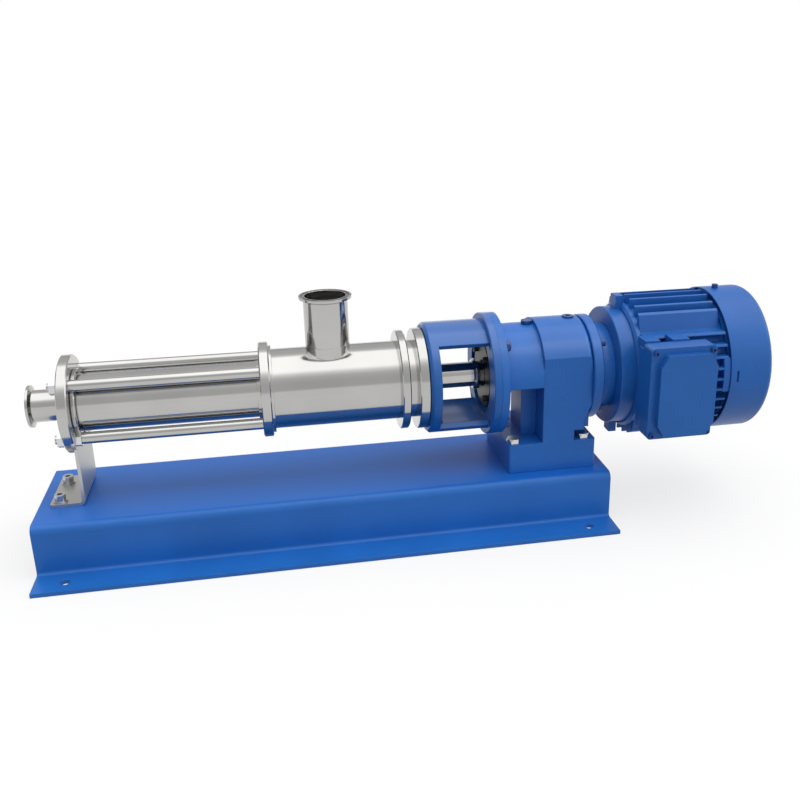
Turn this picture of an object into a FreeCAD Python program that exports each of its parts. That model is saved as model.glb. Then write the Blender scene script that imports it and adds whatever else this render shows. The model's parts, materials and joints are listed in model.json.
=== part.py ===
"""Sanitary progressive cavity pump with an inline geared motor on a folded base plate.

Millimetres. +X runs along the pump axis from the discharge end to the motor, +Y is the side away from
the terminal box, +Z is up. The origin is on the floor plane at the centre of the four hold-down holes.
"""
import FreeCAD, Part
import math
import os
from FreeCAD import Placement, Rotation, Vector

doc = FreeCAD.newDocument("ProgressiveCavityPump")
sheet = doc.addObject("Spreadsheet::Sheet", "Sizes")


class Size:
    """A number together with the sheet expression that gives it."""

    def __init__(self, value, text):
        self.value = value
        self.text = text

    def __add__(self, other):
        other = size(other)
        return Size(self.value + other.value, "(%s + %s)" % (self.text, other.text))

    def __sub__(self, other):
        other = size(other)
        return Size(self.value - other.value, "(%s - %s)" % (self.text, other.text))

    def __mul__(self, other):
        other = size(other)
        return Size(self.value * other.value, "%s * %s" % (self.text, other.text))

    def __truediv__(self, other):
        other = size(other)
        return Size(self.value / other.value, "%s / %s" % (self.text, other.text))

    def __radd__(self, other):
        return size(other) + self

    def __rsub__(self, other):
        return size(other) - self

    def __rmul__(self, other):
        return self * other

    def __neg__(self):
        return Size(0.0, "0") - self


def size(value):
    """A Size for a plain number, or the Size itself."""
    if isinstance(value, Size):
        return value
    return Size(float(value), "(%.10g)" % value)


class Sheet:
    """The driving dimensions, one named cell each."""

    def __init__(self):
        self.row = 0

    def add(self, name, value, note):
        self.row += 1
        sheet.set("A%d" % self.row, note)
        sheet.set("B%d" % self.row, "%.10g" % value)
        sheet.setAlias("B%d" % self.row, name)
        setattr(self, name, Size(float(value), "Sizes.%s" % name))


S = Sheet()

# Base plate
S.add("base_length", 700, "base plate length")
S.add("base_top_width", 167, "width over the two upright webs")
S.add("base_overall_width", 250, "width over the hold-down flanges")
S.add("base_height", 66, "floor to the top of the base")
S.add("base_sheet", 5, "base sheet thickness")
S.add("base_bend", 4, "inside bend radius of the base")
S.add("hold_down_pitch_x", 630, "hold-down holes along the base")
S.add("hold_down_pitch_y", 212, "hold-down holes across the base")
S.add("hold_down_hole", 11, "hold-down hole diameter")

# Pump line
S.add("axis_height", 184, "pump axis above the floor")
S.add("discharge_face", 348, "discharge ferrule face left of the base centre")
S.add("discharge_ferrule", 50.5, "discharge clamp ferrule diameter")
S.add("discharge_tube", 38.5, "discharge tube outside diameter")
S.add("tube_wall", 1.75, "wall of the sanitary tubes")
S.add("ferrule_rim", 2.9, "thickness of a ferrule at its rim")
S.add("ferrule_taper", 2.4, "length of the clamp taper behind the rim")
S.add("ferrule_gasket_depth", 1.6, "depth of the gasket groove in a ferrule face")
S.add("ferrule_gasket_width", 3.2, "width of the gasket groove in a ferrule face")
S.add("discharge_length", 53, "discharge casing from ferrule face to stator face")
S.add("end_flange", 117.4, "diameter of the two tie-rod flanges")
S.add("end_flange_thick", 12, "thickness of the tie-rod flanges")
S.add("flange_edge", 1.2, "chamfer on the flange rims")
S.add("stator_length", 215.5, "stator length between the flanges")
S.add("stator_tube", 68, "stator tube outside diameter")
S.add("stator_wall", 3, "stator tube wall")
S.add("stator_collar", 72, "collar at each end of the stator tube")
S.add("stator_collar_length", 4, "length of a stator collar")
S.add("rod_circle", 46, "tie rod distance from the pump axis")
S.add("rod_thick", 14, "tie rod diameter")
S.add("rod_end", 10, "tie rod threaded end diameter")
S.add("rod_grip", 9, "tie rod thread in the suction flange")
S.add("rod_stick_out", 3, "tie rod end beyond its nut")
S.add("rod_nut_flats", 17, "tie rod nut across flats")
S.add("rod_nut_height", 8, "tie rod nut height")
S.add("lock_nut_flats", 17, "support lock nut across flats")
S.add("lock_nut_height", 7, "support lock nut height")
S.add("thread_play", 0.1, "play of a bolt or rod in its thread or hole wall")
S.add("hole_play", 0.5, "radial play of a through hole")

# Rotor and stator pair
S.add("eccentricity", 4.5, "distance of the rotor axis from the pump axis")
S.add("rotor_diameter", 28, "diameter of the round rotor section")
S.add("rotor_pitch", 100, "pitch of the rotor screw, half the pitch of the stator")
S.add("rotor_gap", 0.3, "running gap between rotor and lining")
S.add("rotor_overhang", 3, "rotor screw beyond each stator end")
S.add("rotor_head", 34, "rotor head diameter")
S.add("joint_bore", 22, "bore of the joint heads")
S.add("joint_pin", 8, "joint pin diameter")
S.add("joint_pin_play", 0.9, "radial play of the pin in the coupling rod")
S.add("rod_eye", 18, "coupling rod eye diameter")
S.add("rod_shank", 15, "coupling rod shank diameter")
S.add("rotor_joint", 52, "rotor joint centre left of the base centre")
S.add("drive_joint", 72, "drive joint centre right of the base centre")
S.add("eye_reach", 10, "coupling rod end beyond a joint centre")
S.add("thrust_ball", 10, "thrust ball diameter")
S.add("ball_play", 0.3, "gap around the thrust ball")

# Suction housing
S.add("housing_tube", 98.8, "suction housing tube outside diameter")
S.add("housing_wall", 2.5, "suction housing wall")
S.add("weld_step", 108, "weld ring behind the left housing flange")
S.add("weld_step_length", 3, "length of that weld ring")
S.add("housing_length", 178.5, "suction housing over its two flanges")
S.add("rear_flange", 124.8, "rear housing flange diameter")
S.add("rear_flange_thick", 10, "rear housing flange thickness")
S.add("rear_flange_bore", 72, "rear housing flange bore")
S.add("suction_centre", 5, "suction branch axis right of the base centre")
S.add("suction_height", 298.4, "suction ferrule face above the floor")
S.add("suction_ferrule", 64, "suction clamp ferrule diameter")
S.add("suction_tube", 54, "suction tube outside diameter")
S.add("weld_saddle", 60, "weld saddle diameter at the foot of the suction branch")
S.add("weld_saddle_height", 54, "top of the weld saddle above the pump axis")
S.add("branch_hole", 49, "hole in the housing under the suction branch, drawn in at the weld")

# Seal cover
S.add("cover_neck", 98, "seal cover neck diameter")
S.add("cover_neck_length", 11.2, "gap bridged by the seal cover neck")
S.add("cover_flange", 127.6, "seal cover flange diameter")
S.add("cover_flange_thick", 12.5, "seal cover flange thickness")
S.add("shaft_play", 1.5, "radial gap between the shaft and plain bores")
S.add("seal_seat", 50, "seal seat diameter")
S.add("seal_seat_length", 8, "seal seat length")
S.add("seal_ring", 46, "rotating seal ring diameter")
S.add("seal_ring_length", 17, "rotating seal ring length")
S.add("seal_face_gap", 0.3, "gap between the seal faces")
S.add("cover_screw_circle", 43, "seal cover screws from the axis")
S.add("cover_screw", 6, "seal cover screw diameter")
S.add("lantern_screw_circle", 58, "countersunk lantern screws from the axis")

# Lantern
S.add("lantern_tube", 141.2, "lantern body diameter")
S.add("lantern_length", 85.3, "lantern from end to gearbox flange")
S.add("lantern_wall", 7, "lantern body wall")
S.add("lantern_rim", 12.9, "solid ring left of the windows")
S.add("lantern_rim_bore", 106, "bore of that ring")
S.add("lantern_edge", 3, "chamfer on the left edge of the lantern")
S.add("lantern_flange", 156.4, "lantern and gearbox flange diameter")
S.add("lantern_flange_thick", 9.7, "lantern flange thickness")
S.add("lantern_flange_bore", 104, "lantern flange bore")
S.add("window_half_angle", 51.5, "half angle of a lantern window about the horizontal")
S.add("flange_bolt_circle", 71, "gearbox flange bolts from the axis")

# Drive shaft and its bearings
S.add("shaft", 32, "drive shaft diameter")
S.add("shaft_head", 42, "joint head of the drive shaft")
S.add("shaft_head_end", 88, "rear end of the shaft head right of the base centre")
S.add("bearing_seat", 30, "shaft diameter under the bearings")
S.add("bearing_outer", 62, "output bearing outside diameter")
S.add("bearing_width", 16, "output bearing width")
S.add("rear_bearing_outer", 48, "rear output bearing outside diameter")
S.add("rear_bearing_width", 14, "rear output bearing width")
S.add("running_fit", 0.05, "radial clearance of a shaft in its bearing")
S.add("slinger", 36, "slinger ring diameter")
S.add("slinger_width", 3, "slinger ring width")
S.add("slinger_place", 186, "slinger ring right of the base centre")
S.add("bearing_cover", 88, "output bearing cover diameter")
S.add("bearing_cover_thick", 8, "output bearing cover thickness")
S.add("oil_seal", 48, "output oil seal diameter")
S.add("oil_seal_width", 6, "output oil seal width")

# Gearbox housing
S.add("gear_flange_thick", 9.7, "gearbox input flange thickness")
S.add("gear_neck", 125, "gearbox neck diameter")
S.add("neck_cut_drop", 4, "underside of the neck below the pump axis")
S.add("gear_block_start", 265.5, "left face of the gear block right of the base centre")
S.add("gear_block_length", 63.5, "gear block length")
S.add("gear_block_width", 120, "gear block and foot width")
S.add("gear_block_top", 68, "top of the block above the axis")
S.add("foot_start", 221.5, "left end of the gearbox foot right of the base centre")
S.add("foot_length", 114, "gearbox foot length")
S.add("foot_height", 39, "gearbox foot height")
S.add("web_width", 50, "web under the neck")
S.add("web_setback", 28.5, "web behind the flange face")
S.add("foot_bolt_edge", 8, "left foot bolts right of the left end of the gearbox foot")
S.add("foot_bolt_pitch_x", 91.3, "gearbox foot bolts along the pump")
S.add("foot_bolt_pitch_y", 100, "gearbox foot bolts across the pump")
S.add("foot_bolt", 10, "gearbox foot bolt diameter")
S.add("foot_pocket", 22, "bolt pocket at the rear of the foot")
S.add("foot_pocket_height", 13.5, "height of that pocket")
S.add("relief", 9.5, "cut-back rear corners of the gear block")
S.add("relief_width", 10, "width of the cut-back corners")
S.add("relief_low", 53, "straight part of the cut-back corners up to this far below the axis")
S.add("relief_high", 29, "slanted part of the cut-back corners up to this far below the axis")
S.add("cavity_front", 283, "front wall of the gear space right of the base centre")
S.add("cavity_half_width", 33, "half width of the gear space")
S.add("cavity_top", 32, "gear space above the axis")
S.add("cavity_bottom", 72, "gear space below the axis")

# Gear train
S.add("gear_module", 1.6, "module of both gear pairs")
S.add("pinion_teeth", 17, "teeth of both pinions")
S.add("wheel_teeth", 34, "teeth of both wheels")
S.add("gear_backlash", 0.3, "tooth thinning at the pitch circle")
S.add("output_gear_start", 285.5, "output gear left face right of the base centre")
S.add("output_gear_width", 13, "output gear width")
S.add("lay_gear_start", 304, "layshaft wheel left face right of the base centre")
S.add("lay_gear_width", 12, "layshaft wheel width")
S.add("pinion_extra", 1, "pinion beyond its wheel on each side")
S.add("lay_shaft", 14, "layshaft diameter")
S.add("lay_bearing", 28, "layshaft bearing outside diameter")
S.add("lay_bearing_width", 8, "layshaft bearing width")
S.add("pinion_seat", 14, "motor shaft diameter under its pinion")

# Input cover and motor
S.add("input_cover_thick", 13, "gearbox input cover thickness")
S.add("input_cover", 144, "gearbox input cover diameter")
S.add("input_neck", 110, "input cover neck diameter")
S.add("input_neck_length", 19, "input cover neck length")
S.add("motor_disc", 152.6, "motor flange disc diameter")
S.add("motor_disc_thick", 19.5, "motor flange disc thickness")
S.add("motor_shaft", 24, "motor shaft diameter")
S.add("motor_bearing", 52, "motor bearing outside diameter")
S.add("motor_bearing_width", 13, "motor bearing width")
S.add("shield_thick", 8, "motor end shield thickness")
S.add("shield_diameter", 164, "motor end shield diameter")
S.add("shield_lug_width", 18, "width of the lugs on the drive end shield")
S.add("shield_lug_length", 10, "length of those lugs")
S.add("shield_lug_set", 7, "lugs left of the back of the flange disc")
S.add("shield_lug_radius", 94, "reach of those lugs from the axis")
S.add("fan_shield_diameter", 168, "motor end shield diameter at the fan")
S.add("frame_bore", 156, "motor frame bore")
S.add("frame_core", 170, "motor frame core diameter")
S.add("frame_over_fins", 185.6, "motor frame over the fins")
S.add("frame_length", 109.5, "motor frame length")
S.add("fin_thick", 3, "motor fin thickness")
S.add("fin_pitch", 14.3, "spacing of the fins on the sides")
S.add("top_fin_pitch", 17.4, "spacing of the fins on top and below")
S.add("corner_from", 31, "smooth corner of the frame from this angle off the vertical")
S.add("corner_to", 50, "smooth corner of the frame up to this angle")
S.add("bar_length", 9, "end bar on the sides of the frame")
S.add("bar_below", 17, "end bar below the pump axis")
S.add("bar_above", 27, "end bar above the pump axis")
S.add("stack_length", 80, "laminated stack length")
S.add("stack_bore", 77, "laminated stack bore")
S.add("air_gap", 0.5, "air gap of the motor")
S.add("winding_length", 9, "winding overhang length")

# Terminal box
S.add("box_start", 378, "terminal box left side right of the base centre")
S.add("box_length", 83.5, "terminal box length")
S.add("box_height", 116, "terminal box height")
S.add("box_drop", 2, "middle of the terminal box below the pump axis")
S.add("box_front", 130, "terminal box front from the pump axis")
S.add("box_wall", 4, "terminal box wall")
S.add("box_lid_thick", 5, "terminal box lid thickness")
S.add("box_panel_rise", 9, "raised panel on the lid")
S.add("panel_left", 9.5, "lid left of its raised panel")
S.add("panel_right", 1.5, "lid right of its raised panel")
S.add("panel_top", 8, "lid above its raised panel")
S.add("panel_bottom", 5, "lid below its raised panel")
S.add("panel_corner", 9, "chamfered corners of the panel along the pump")
S.add("panel_corner_high", 15, "chamfered corners of the panel up the pump")
S.add("lid_screw_edge", 5.5, "lid screws from the edges of the lid")
S.add("box_seat", 96, "terminal box back from the pump axis")
S.add("pad_reach", 7, "motor pad inside the terminal box outline, above and below")
S.add("pad_length", 59, "motor pad length from the left side of the terminal box")
S.add("pad_thick", 12.5, "thickness of the pad where it passes the end shield")
S.add("pad_boss_rise", 9.5, "bosses on top of the motor pad")
S.add("pad_boss_reach", 24, "bosses from the back of the terminal box")
S.add("pad_boss_start", 2, "left boss right of the left side of the terminal box")
S.add("pad_boss_length", 19, "length of the left boss")
S.add("pad_boss_gap", 16, "gap between the two bosses")

# Fan and cowl
S.add("cowl_start", 498, "fan cowl left edge right of the base centre")
S.add("cowl_length", 58, "fan cowl length")
S.add("cowl_diameter", 188.5, "fan cowl diameter")
S.add("cowl_sheet", 2, "fan cowl sheet")
S.add("cowl_round", 8, "rounding of the fan cowl end")
S.add("fan_diameter", 150, "fan diameter")
S.add("fan_width", 20, "fan blade width")
S.add("fan_start", 520, "fan back plate right of the base centre")
S.add("fan_hub", 44, "fan hub diameter")
S.add("lug_width", 26, "rear shield lug width")
S.add("lug_end", 522, "rear shield lugs end right of the base centre")
S.add("cowl_slot_line", 9, "slot in the near side of the cowl, right of the cowl's left edge")
S.add("cowl_slot", 3, "width of that slot")
S.add("cowl_slot_height", 14, "height of that slot")

# Discharge support bracket
S.add("support_sheet", 4, "discharge support sheet thickness")
S.add("support_near", 35, "discharge support reach towards the terminal box side")
S.add("support_far", 47, "discharge support reach towards the other side")
S.add("support_foot", 41, "discharge support foot length")
S.add("support_play", 0.2, "play of the support in its pocket")
S.add("support_ear", 13, "radius of the ears round the tie rods")
S.add("support_screw_pitch", 52, "screws across the support foot")
S.add("support_screw", 8, "support screw diameter")
S.add("support_screw_back", 30, "support screws left of the upright plate")

doc.recompute()

nodes = {}


def bind(item, prop, value):
    """Sets a property to a size and ties it to the sheet."""
    value = size(value)
    if "." not in prop:
        setattr(item, prop, value.value)
    item.setExpression(prop, value.text)


def place(item, x, y, z, rotation=Rotation()):
    """Places an item at three sizes."""
    x, y, z = size(x), size(y), size(z)
    item.Placement = Placement(Vector(x.value, y.value, z.value), rotation)
    for letter, value in (("x", x), ("y", y), ("z", z)):
        item.setExpression("Placement.Base." + letter, value.text)


TURN = {
    "x": Rotation(Vector(0, 1, 0), 90),
    "y": Rotation(Vector(1, 0, 0), -90),
    "z": Rotation(),
}


def at(axis, start, first, second):
    """The three coordinates of a start along one axis and the two others in X, Y, Z order."""
    if axis == "x":
        return start, first, second
    if axis == "y":
        return first, start, second
    return first, second, start


def rod(axis, start, end, radius, first=0, second=None):
    """A round bar along an axis, by default on the pump axis."""
    if second is None:
        second = S.axis_height
    item = doc.addObject("Part::Cylinder", "Rod")
    bind(item, "Radius", radius)
    bind(item, "Height", size(end) - start)
    place(item, *at(axis, start, first, second), TURN[axis])
    return item


def cone(axis, start, end, radius_start, radius_end, first=0, second=None):
    """A truncated cone along an axis."""
    if second is None:
        second = S.axis_height
    item = doc.addObject("Part::Cone", "Cone")
    bind(item, "Radius1", radius_start)
    bind(item, "Radius2", radius_end)
    bind(item, "Height", size(end) - start)
    place(item, *at(axis, start, first, second), TURN[axis])
    return item


def ball(radius, x, y, z):
    """A sphere."""
    item = doc.addObject("Part::Sphere", "Ball")
    bind(item, "Radius", radius)
    place(item, x, y, z)
    return item


def hexagon(axis, start, end, flats, first=0, second=None):
    """A hexagonal bar along an axis, given across its flats."""
    if second is None:
        second = S.axis_height
    item = doc.addObject("Part::Prism", "Hexagon")
    item.Polygon = 6
    bind(item, "Circumradius", size(flats) * (1 / math.sqrt(3)))
    bind(item, "Height", size(end) - start)
    place(item, *at(axis, start, first, second), TURN[axis])
    return item


def block(x0, x1, y0, y1, z0, z1):
    """A rectangular block between two corners."""
    item = doc.addObject("Part::Box", "Block")
    bind(item, "Length", size(x1) - x0)
    bind(item, "Width", size(y1) - y0)
    bind(item, "Height", size(z1) - z0)
    place(item, x0, y0, z0)
    return item


def join(*items):
    """One solid from several that meet."""
    item = doc.addObject("Part::MultiFuse", "Join")
    item.Shapes = list(items)
    item.Refine = True
    return item


def less(base, *tools):
    """A solid with others cut out of it."""
    item = doc.addObject("Part::Cut", "Less")
    item.Base = base
    item.Tool = tools[0] if len(tools) == 1 else join(*tools)
    item.Refine = True
    return item


def overlap(first, second):
    """What two solids share."""
    item = doc.addObject("Part::Common", "Overlap")
    item.Base = first
    item.Tool = second
    return item


def group(items):
    """Separate solids that are handled as one."""
    item = doc.addObject("Part::Compound", "Group")
    item.Links = list(items)
    return item


def node(name, item):
    """Names a finished piece."""
    item.Label = name
    nodes[name] = item
    return item


def attach(body, role):
    """A sketch on one of a body's own origin planes."""
    sketch = body.newObject("Sketcher::SketchObject", "Outline")
    plane = [p for p in body.Origin.OriginFeatures if p.Role == role][0]
    sketch.AttachmentSupport = [(plane, "")]
    sketch.MapMode = "FlatFace"
    return sketch


def outline(sketch, points):
    """Draws a closed outline whose corners are tied to the sheet."""
    import Sketcher
    points = [(size(a), size(b)) for a, b in points]
    count = len(points)
    corners = [Vector(a.value, b.value, 0) for a, b in points]
    for i in range(count):
        sketch.addGeometry(Part.LineSegment(corners[i], corners[(i + 1) % count]), False)
    for i in range(count):
        sketch.addConstraint(Sketcher.Constraint("Coincident", i, 2, (i + 1) % count, 1))
    for i, (a, b) in enumerate(points):
        for kind, value, axis in (("DistanceX", a, -2), ("DistanceY", b, -1)):
            if value.value == 0:
                sketch.addConstraint(Sketcher.Constraint("PointOnObject", i, 1, axis))
                continue
            index = sketch.addConstraint(Sketcher.Constraint(kind, -1, 1, i, 1, value.value))
            sketch.renameConstraint(index, "%s%d" % (kind, i))
            sketch.setExpression("Constraints.%s%d" % (kind, i), value.text)


def turned(points, z=None):
    """A piece turned about an axis along X from an outline of place and radius."""
    body = doc.addObject("PartDesign::Body", "Turned")
    sketch = attach(body, "XZ_Plane")
    outline(sketch, points)
    feature = body.newObject("PartDesign::Revolution", "Turn")
    feature.Profile = sketch
    feature.ReferenceAxis = (sketch, ["H_Axis"])
    feature.Angle = 360
    place(body, 0, 0, S.axis_height if z is None else z)
    return body


def padded(points, role, length, x=0, y=0, z=0):
    """A piece extruded from an outline on an origin plane."""
    body = doc.addObject("PartDesign::Body", "Padded")
    sketch = attach(body, role)
    outline(sketch, points)
    feature = body.newObject("PartDesign::Pad", "Pad")
    feature.Profile = sketch
    bind(feature, "Length", length)
    place(body, x, y, z)
    return body, feature


def around(radius, degrees):
    """The Y and Z of a place on a circle round the pump axis, counted from +Y towards +Z."""
    turn = math.radians(degrees)
    return radius * math.cos(turn), S.axis_height + radius * math.sin(turn)


DIAGONALS = (45, 135, 225, 315)
CROSS = (0, 90, 180, 270)

AXIS = S.axis_height

# Places along the pump
ferrule_face = -S.discharge_face
stator_start = ferrule_face + S.discharge_length
stator_end = stator_start + S.stator_length
front_flange = stator_start - S.end_flange_thick
housing_start = stator_end + S.end_flange_thick
housing_end = stator_end + S.housing_length
rear_flange_start = housing_end - S.rear_flange_thick
cover_flange_start = housing_end + S.cover_neck_length
lantern_start = cover_flange_start + S.cover_flange_thick
gear_face = lantern_start + S.lantern_length
gear_neck_start = gear_face + S.gear_flange_thick
block_end = S.gear_block_start + S.gear_block_length
input_neck_start = block_end + S.input_cover_thick
motor_face = input_neck_start + S.input_neck_length
shield_start = motor_face + S.motor_disc_thick
frame_start = shield_start + S.shield_thick
frame_end = frame_start + S.frame_length


def edge_points(edge):
    """The two ends of an edge."""
    return [v.Point for v in edge.Vertexes]


def soften(item, radius, test, chamfer=False):
    """Rounds or chamfers the edges that a test picks."""
    doc.recompute()
    picked = [i + 1 for i, edge in enumerate(item.Shape.Edges) if test(edge)]
    if not picked:
        raise RuntimeError("no edge picked on " + item.Label)
    result = doc.addObject("Part::Chamfer" if chamfer else "Part::Fillet", "Soft")
    result.Base = item
    value = size(radius).value
    result.Edges = [(i, value, value) for i in picked]
    return result


def rim(x=None, z=None, radius=None, tolerance=0.05):
    """A test for round edges at a place along X or Z with a radius."""
    def test(edge):
        if not hasattr(edge.Curve, "Radius"):
            return False
        centre = edge.Curve.Center
        if radius is not None and abs(edge.Curve.Radius - size(radius).value) > tolerance:
            return False
        if x is not None and abs(centre.x - size(x).value) > tolerance:
            return False
        return z is None or abs(centre.z - size(z).value) <= tolerance
    return test


def straight(direction, near=None, tolerance=0.1):
    """A test for straight edges along one axis, limited to given places on the two others."""
    index = "xyz".index(direction)

    def test(edge):
        ends = edge_points(edge)
        if len(ends) != 2 or hasattr(edge.Curve, "Radius"):
            return False
        step = ends[1] - ends[0]
        for i in range(3):
            if i != index and abs(step[i]) > tolerance:
                return False
        for name, value in (near or {}).items():
            if abs(abs(ends[0]["xyz".index(name)]) - abs(size(value).value)) > tolerance:
                return False
        return True
    return test


# Base plate
half_top = S.base_top_width / 2
half_all = S.base_overall_width / 2
base_profile = [
    (-half_all, 0), (-half_all, S.base_sheet), (-half_top, S.base_sheet), (-half_top, S.base_height),
    (half_top, S.base_height), (half_top, S.base_sheet), (half_all, S.base_sheet), (half_all, 0),
    (half_top - S.base_sheet, 0), (half_top - S.base_sheet, S.base_height - S.base_sheet),
    (-half_top + S.base_sheet, S.base_height - S.base_sheet), (-half_top + S.base_sheet, 0),
]
hat, hat_pad = padded(base_profile, "YZ_Plane", S.base_length, x=-S.base_length / 2)
outer_bend = S.base_bend + S.base_sheet
hat = soften(hat, outer_bend, straight("x", {"y": half_top, "z": S.base_height}))
hat = soften(hat, S.base_bend, straight("x", {"y": half_top - S.base_sheet,
                                              "z": S.base_height - S.base_sheet}))
hat = soften(hat, S.base_bend, straight("x", {"y": half_top, "z": S.base_sheet}))
hat = soften(hat, outer_bend, straight("x", {"y": half_top - S.base_sheet, "z": 0}))

foot_middle = S.foot_start + S.foot_bolt_edge + S.foot_bolt_pitch_x / 2
foot_places = [(foot_middle + S.foot_bolt_pitch_x / 2 * i, S.foot_bolt_pitch_y / 2 * j)
               for i in (-1, 1) for j in (-1, 1)]
support_line = stator_start - S.support_screw_back
support_places = [(support_line, S.support_screw_pitch / 2 * j) for j in (-1, 1)]
holes = [rod("z", -1, S.base_sheet + 1, S.hold_down_hole / 2,
             S.hold_down_pitch_x / 2 * i, S.hold_down_pitch_y / 2 * j) for i in (-1, 1) for j in (-1, 1)]
holes += [rod("z", S.base_height - S.base_sheet - 1, S.base_height + 1, S.foot_bolt / 2 + S.hole_play, x, y)
          for x, y in foot_places]
holes += [rod("z", S.base_height - S.base_sheet - 1, S.base_height + 1, S.support_screw / 2 + S.hole_play, x, y)
          for x, y in support_places]
node("base_plate", less(hat, group(holes)))


# Discharge casing
ferrule_back = ferrule_face + S.ferrule_rim
tube_bore = S.discharge_tube / 2 - S.tube_wall
groove_middle = S.discharge_ferrule / 2 - 3.4
casing = turned([
    (ferrule_face, tube_bore), (ferrule_face, groove_middle - S.ferrule_gasket_width / 2),
    (ferrule_face + S.ferrule_gasket_depth, groove_middle - S.ferrule_gasket_width / 2 + 0.6),
    (ferrule_face + S.ferrule_gasket_depth, groove_middle + S.ferrule_gasket_width / 2 - 0.6),
    (ferrule_face, groove_middle + S.ferrule_gasket_width / 2),
    (ferrule_face, S.discharge_ferrule / 2), (ferrule_back, S.discharge_ferrule / 2),
    (ferrule_back + S.ferrule_taper, S.discharge_tube / 2),
    (front_flange - 2, S.discharge_tube / 2), (front_flange, S.discharge_tube / 2 + 2),
    (front_flange, S.end_flange / 2 - S.flange_edge), (front_flange + S.flange_edge, S.end_flange / 2),
    (stator_start - S.flange_edge, S.end_flange / 2), (stator_start, S.end_flange / 2 - S.flange_edge),
    (stator_start, 27), (front_flange, tube_bore),
])
rod_holes = group([rod("x", front_flange - 1, stator_start + 1, S.rod_end / 2 + S.hole_play,
                       *around(S.rod_circle.value, a)) for a in DIAGONALS])
support_top = AXIS - S.rod_circle * math.sin(math.pi / 4)
support_pocket = block(stator_start - S.support_sheet, stator_start + 1, -S.end_flange, S.end_flange,
                       0, support_top + S.support_play)
ear_pockets = [rod("x", stator_start - S.support_sheet, stator_start + 1, S.support_ear + S.support_play,
                   *around(S.rod_circle.value, a)) for a in (225, 315)]
stop = rod("x", front_flange, stator_start, S.stator_collar / 2 + 1)
node("discharge_casing", less(casing, rod_holes, less(join(support_pocket, *ear_pockets), stop)))

# Stator tube and lining
tube_radius = S.stator_tube / 2
lining_radius = tube_radius - S.stator_wall
node("stator_tube", turned([
    (stator_start, lining_radius), (stator_start, S.stator_collar / 2),
    (stator_start + S.stator_collar_length, S.stator_collar / 2),
    (stator_start + S.stator_collar_length, tube_radius),
    (stator_end - S.stator_collar_length, tube_radius),
    (stator_end - S.stator_collar_length, S.stator_collar / 2),
    (stator_end, S.stator_collar / 2), (stator_end, lining_radius),
]))


def twisted(wire, length, pitch, per_turn):
    """A solid through copies of a wire that turn as they rise."""
    count = max(2, int(math.ceil(abs(length / pitch) * per_turn)))
    sections = []
    for i in range(count + 1):
        rise = length * i / count
        section = wire.copy()
        section.Placement = Placement(Vector(0, 0, rise), Rotation(Vector(0, 0, 1), 360.0 * rise / pitch))
        sections.append(section)
    return Part.makeLoft(sections, True, False, False, 3)


def slot_wire(half_travel, radius):
    """The stator opening: two half circles joined by straight lines."""
    right = Part.Arc(Vector(half_travel, -radius, 0), Vector(half_travel + radius, 0, 0),
                     Vector(half_travel, radius, 0)).toShape()
    left = Part.Arc(Vector(-half_travel, radius, 0), Vector(-half_travel - radius, 0, 0),
                    Vector(-half_travel, -radius, 0)).toShape()
    top = Part.LineSegment(Vector(half_travel, radius, 0), Vector(-half_travel, radius, 0)).toShape()
    bottom = Part.LineSegment(Vector(-half_travel, -radius, 0), Vector(half_travel, -radius, 0)).toShape()
    return Part.Wire([right, top, left, bottom])


screw_start = stator_start - S.rotor_overhang
screw_length = S.stator_length + S.rotor_overhang * 2
rotor_wire = Part.Wire([Part.Circle(Vector(S.eccentricity.value, 0, 0), Vector(0, 0, 1),
                                    S.rotor_diameter.value / 2).toShape()])
screw = doc.addObject("Part::Feature", "Screw")
screw.Shape = twisted(rotor_wire, screw_length.value, S.rotor_pitch.value, 6)
place(screw, screw_start, 0, AXIS - S.eccentricity, TURN["x"])
opening = doc.addObject("Part::Feature", "Opening")
opening.Shape = twisted(slot_wire(2 * S.eccentricity.value, S.rotor_diameter.value / 2 + S.rotor_gap.value),
                        screw_length.value, 2 * S.rotor_pitch.value, 12)
place(opening, screw_start, 0, AXIS, TURN["x"])
node("stator_lining", less(rod("x", stator_start, stator_end, lining_radius - 0.02), opening))

# Tie rods and their nuts
rods = []
nuts = []
lock_nuts = []
for angle in DIAGONALS:
    y, z = around(S.rod_circle.value, angle)
    shoulder = stator_start + (S.lock_nut_height if angle > 180 else 0)
    nut_start = front_flange - S.rod_nut_height
    rods.append(join(
        rod("x", shoulder, stator_end, S.rod_thick / 2, y, z),
        rod("x", nut_start - S.rod_stick_out, shoulder, S.rod_end / 2, y, z),
        rod("x", stator_end, stator_end + S.rod_grip, S.rod_end / 2, y, z)))
    nuts.append(soften(less(
        hexagon("x", nut_start, front_flange, S.rod_nut_flats, y, z),
        rod("x", nut_start - 1, front_flange + 1, S.rod_end / 2 + S.thread_play, y, z)),
        0.5, lambda edge: hasattr(edge.Curve, "Radius"), True))
    if angle > 180:
        lock_nuts.append(less(
            hexagon("x", stator_start, shoulder, S.lock_nut_flats, y, z),
            rod("x", stator_start - 1, shoulder + 1, S.rod_end / 2 + S.thread_play, y, z)))
node("tie_rods", group(rods))
node("tie_rod_nuts", group(nuts))
node("support_lock_nuts", group(lock_nuts))

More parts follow.
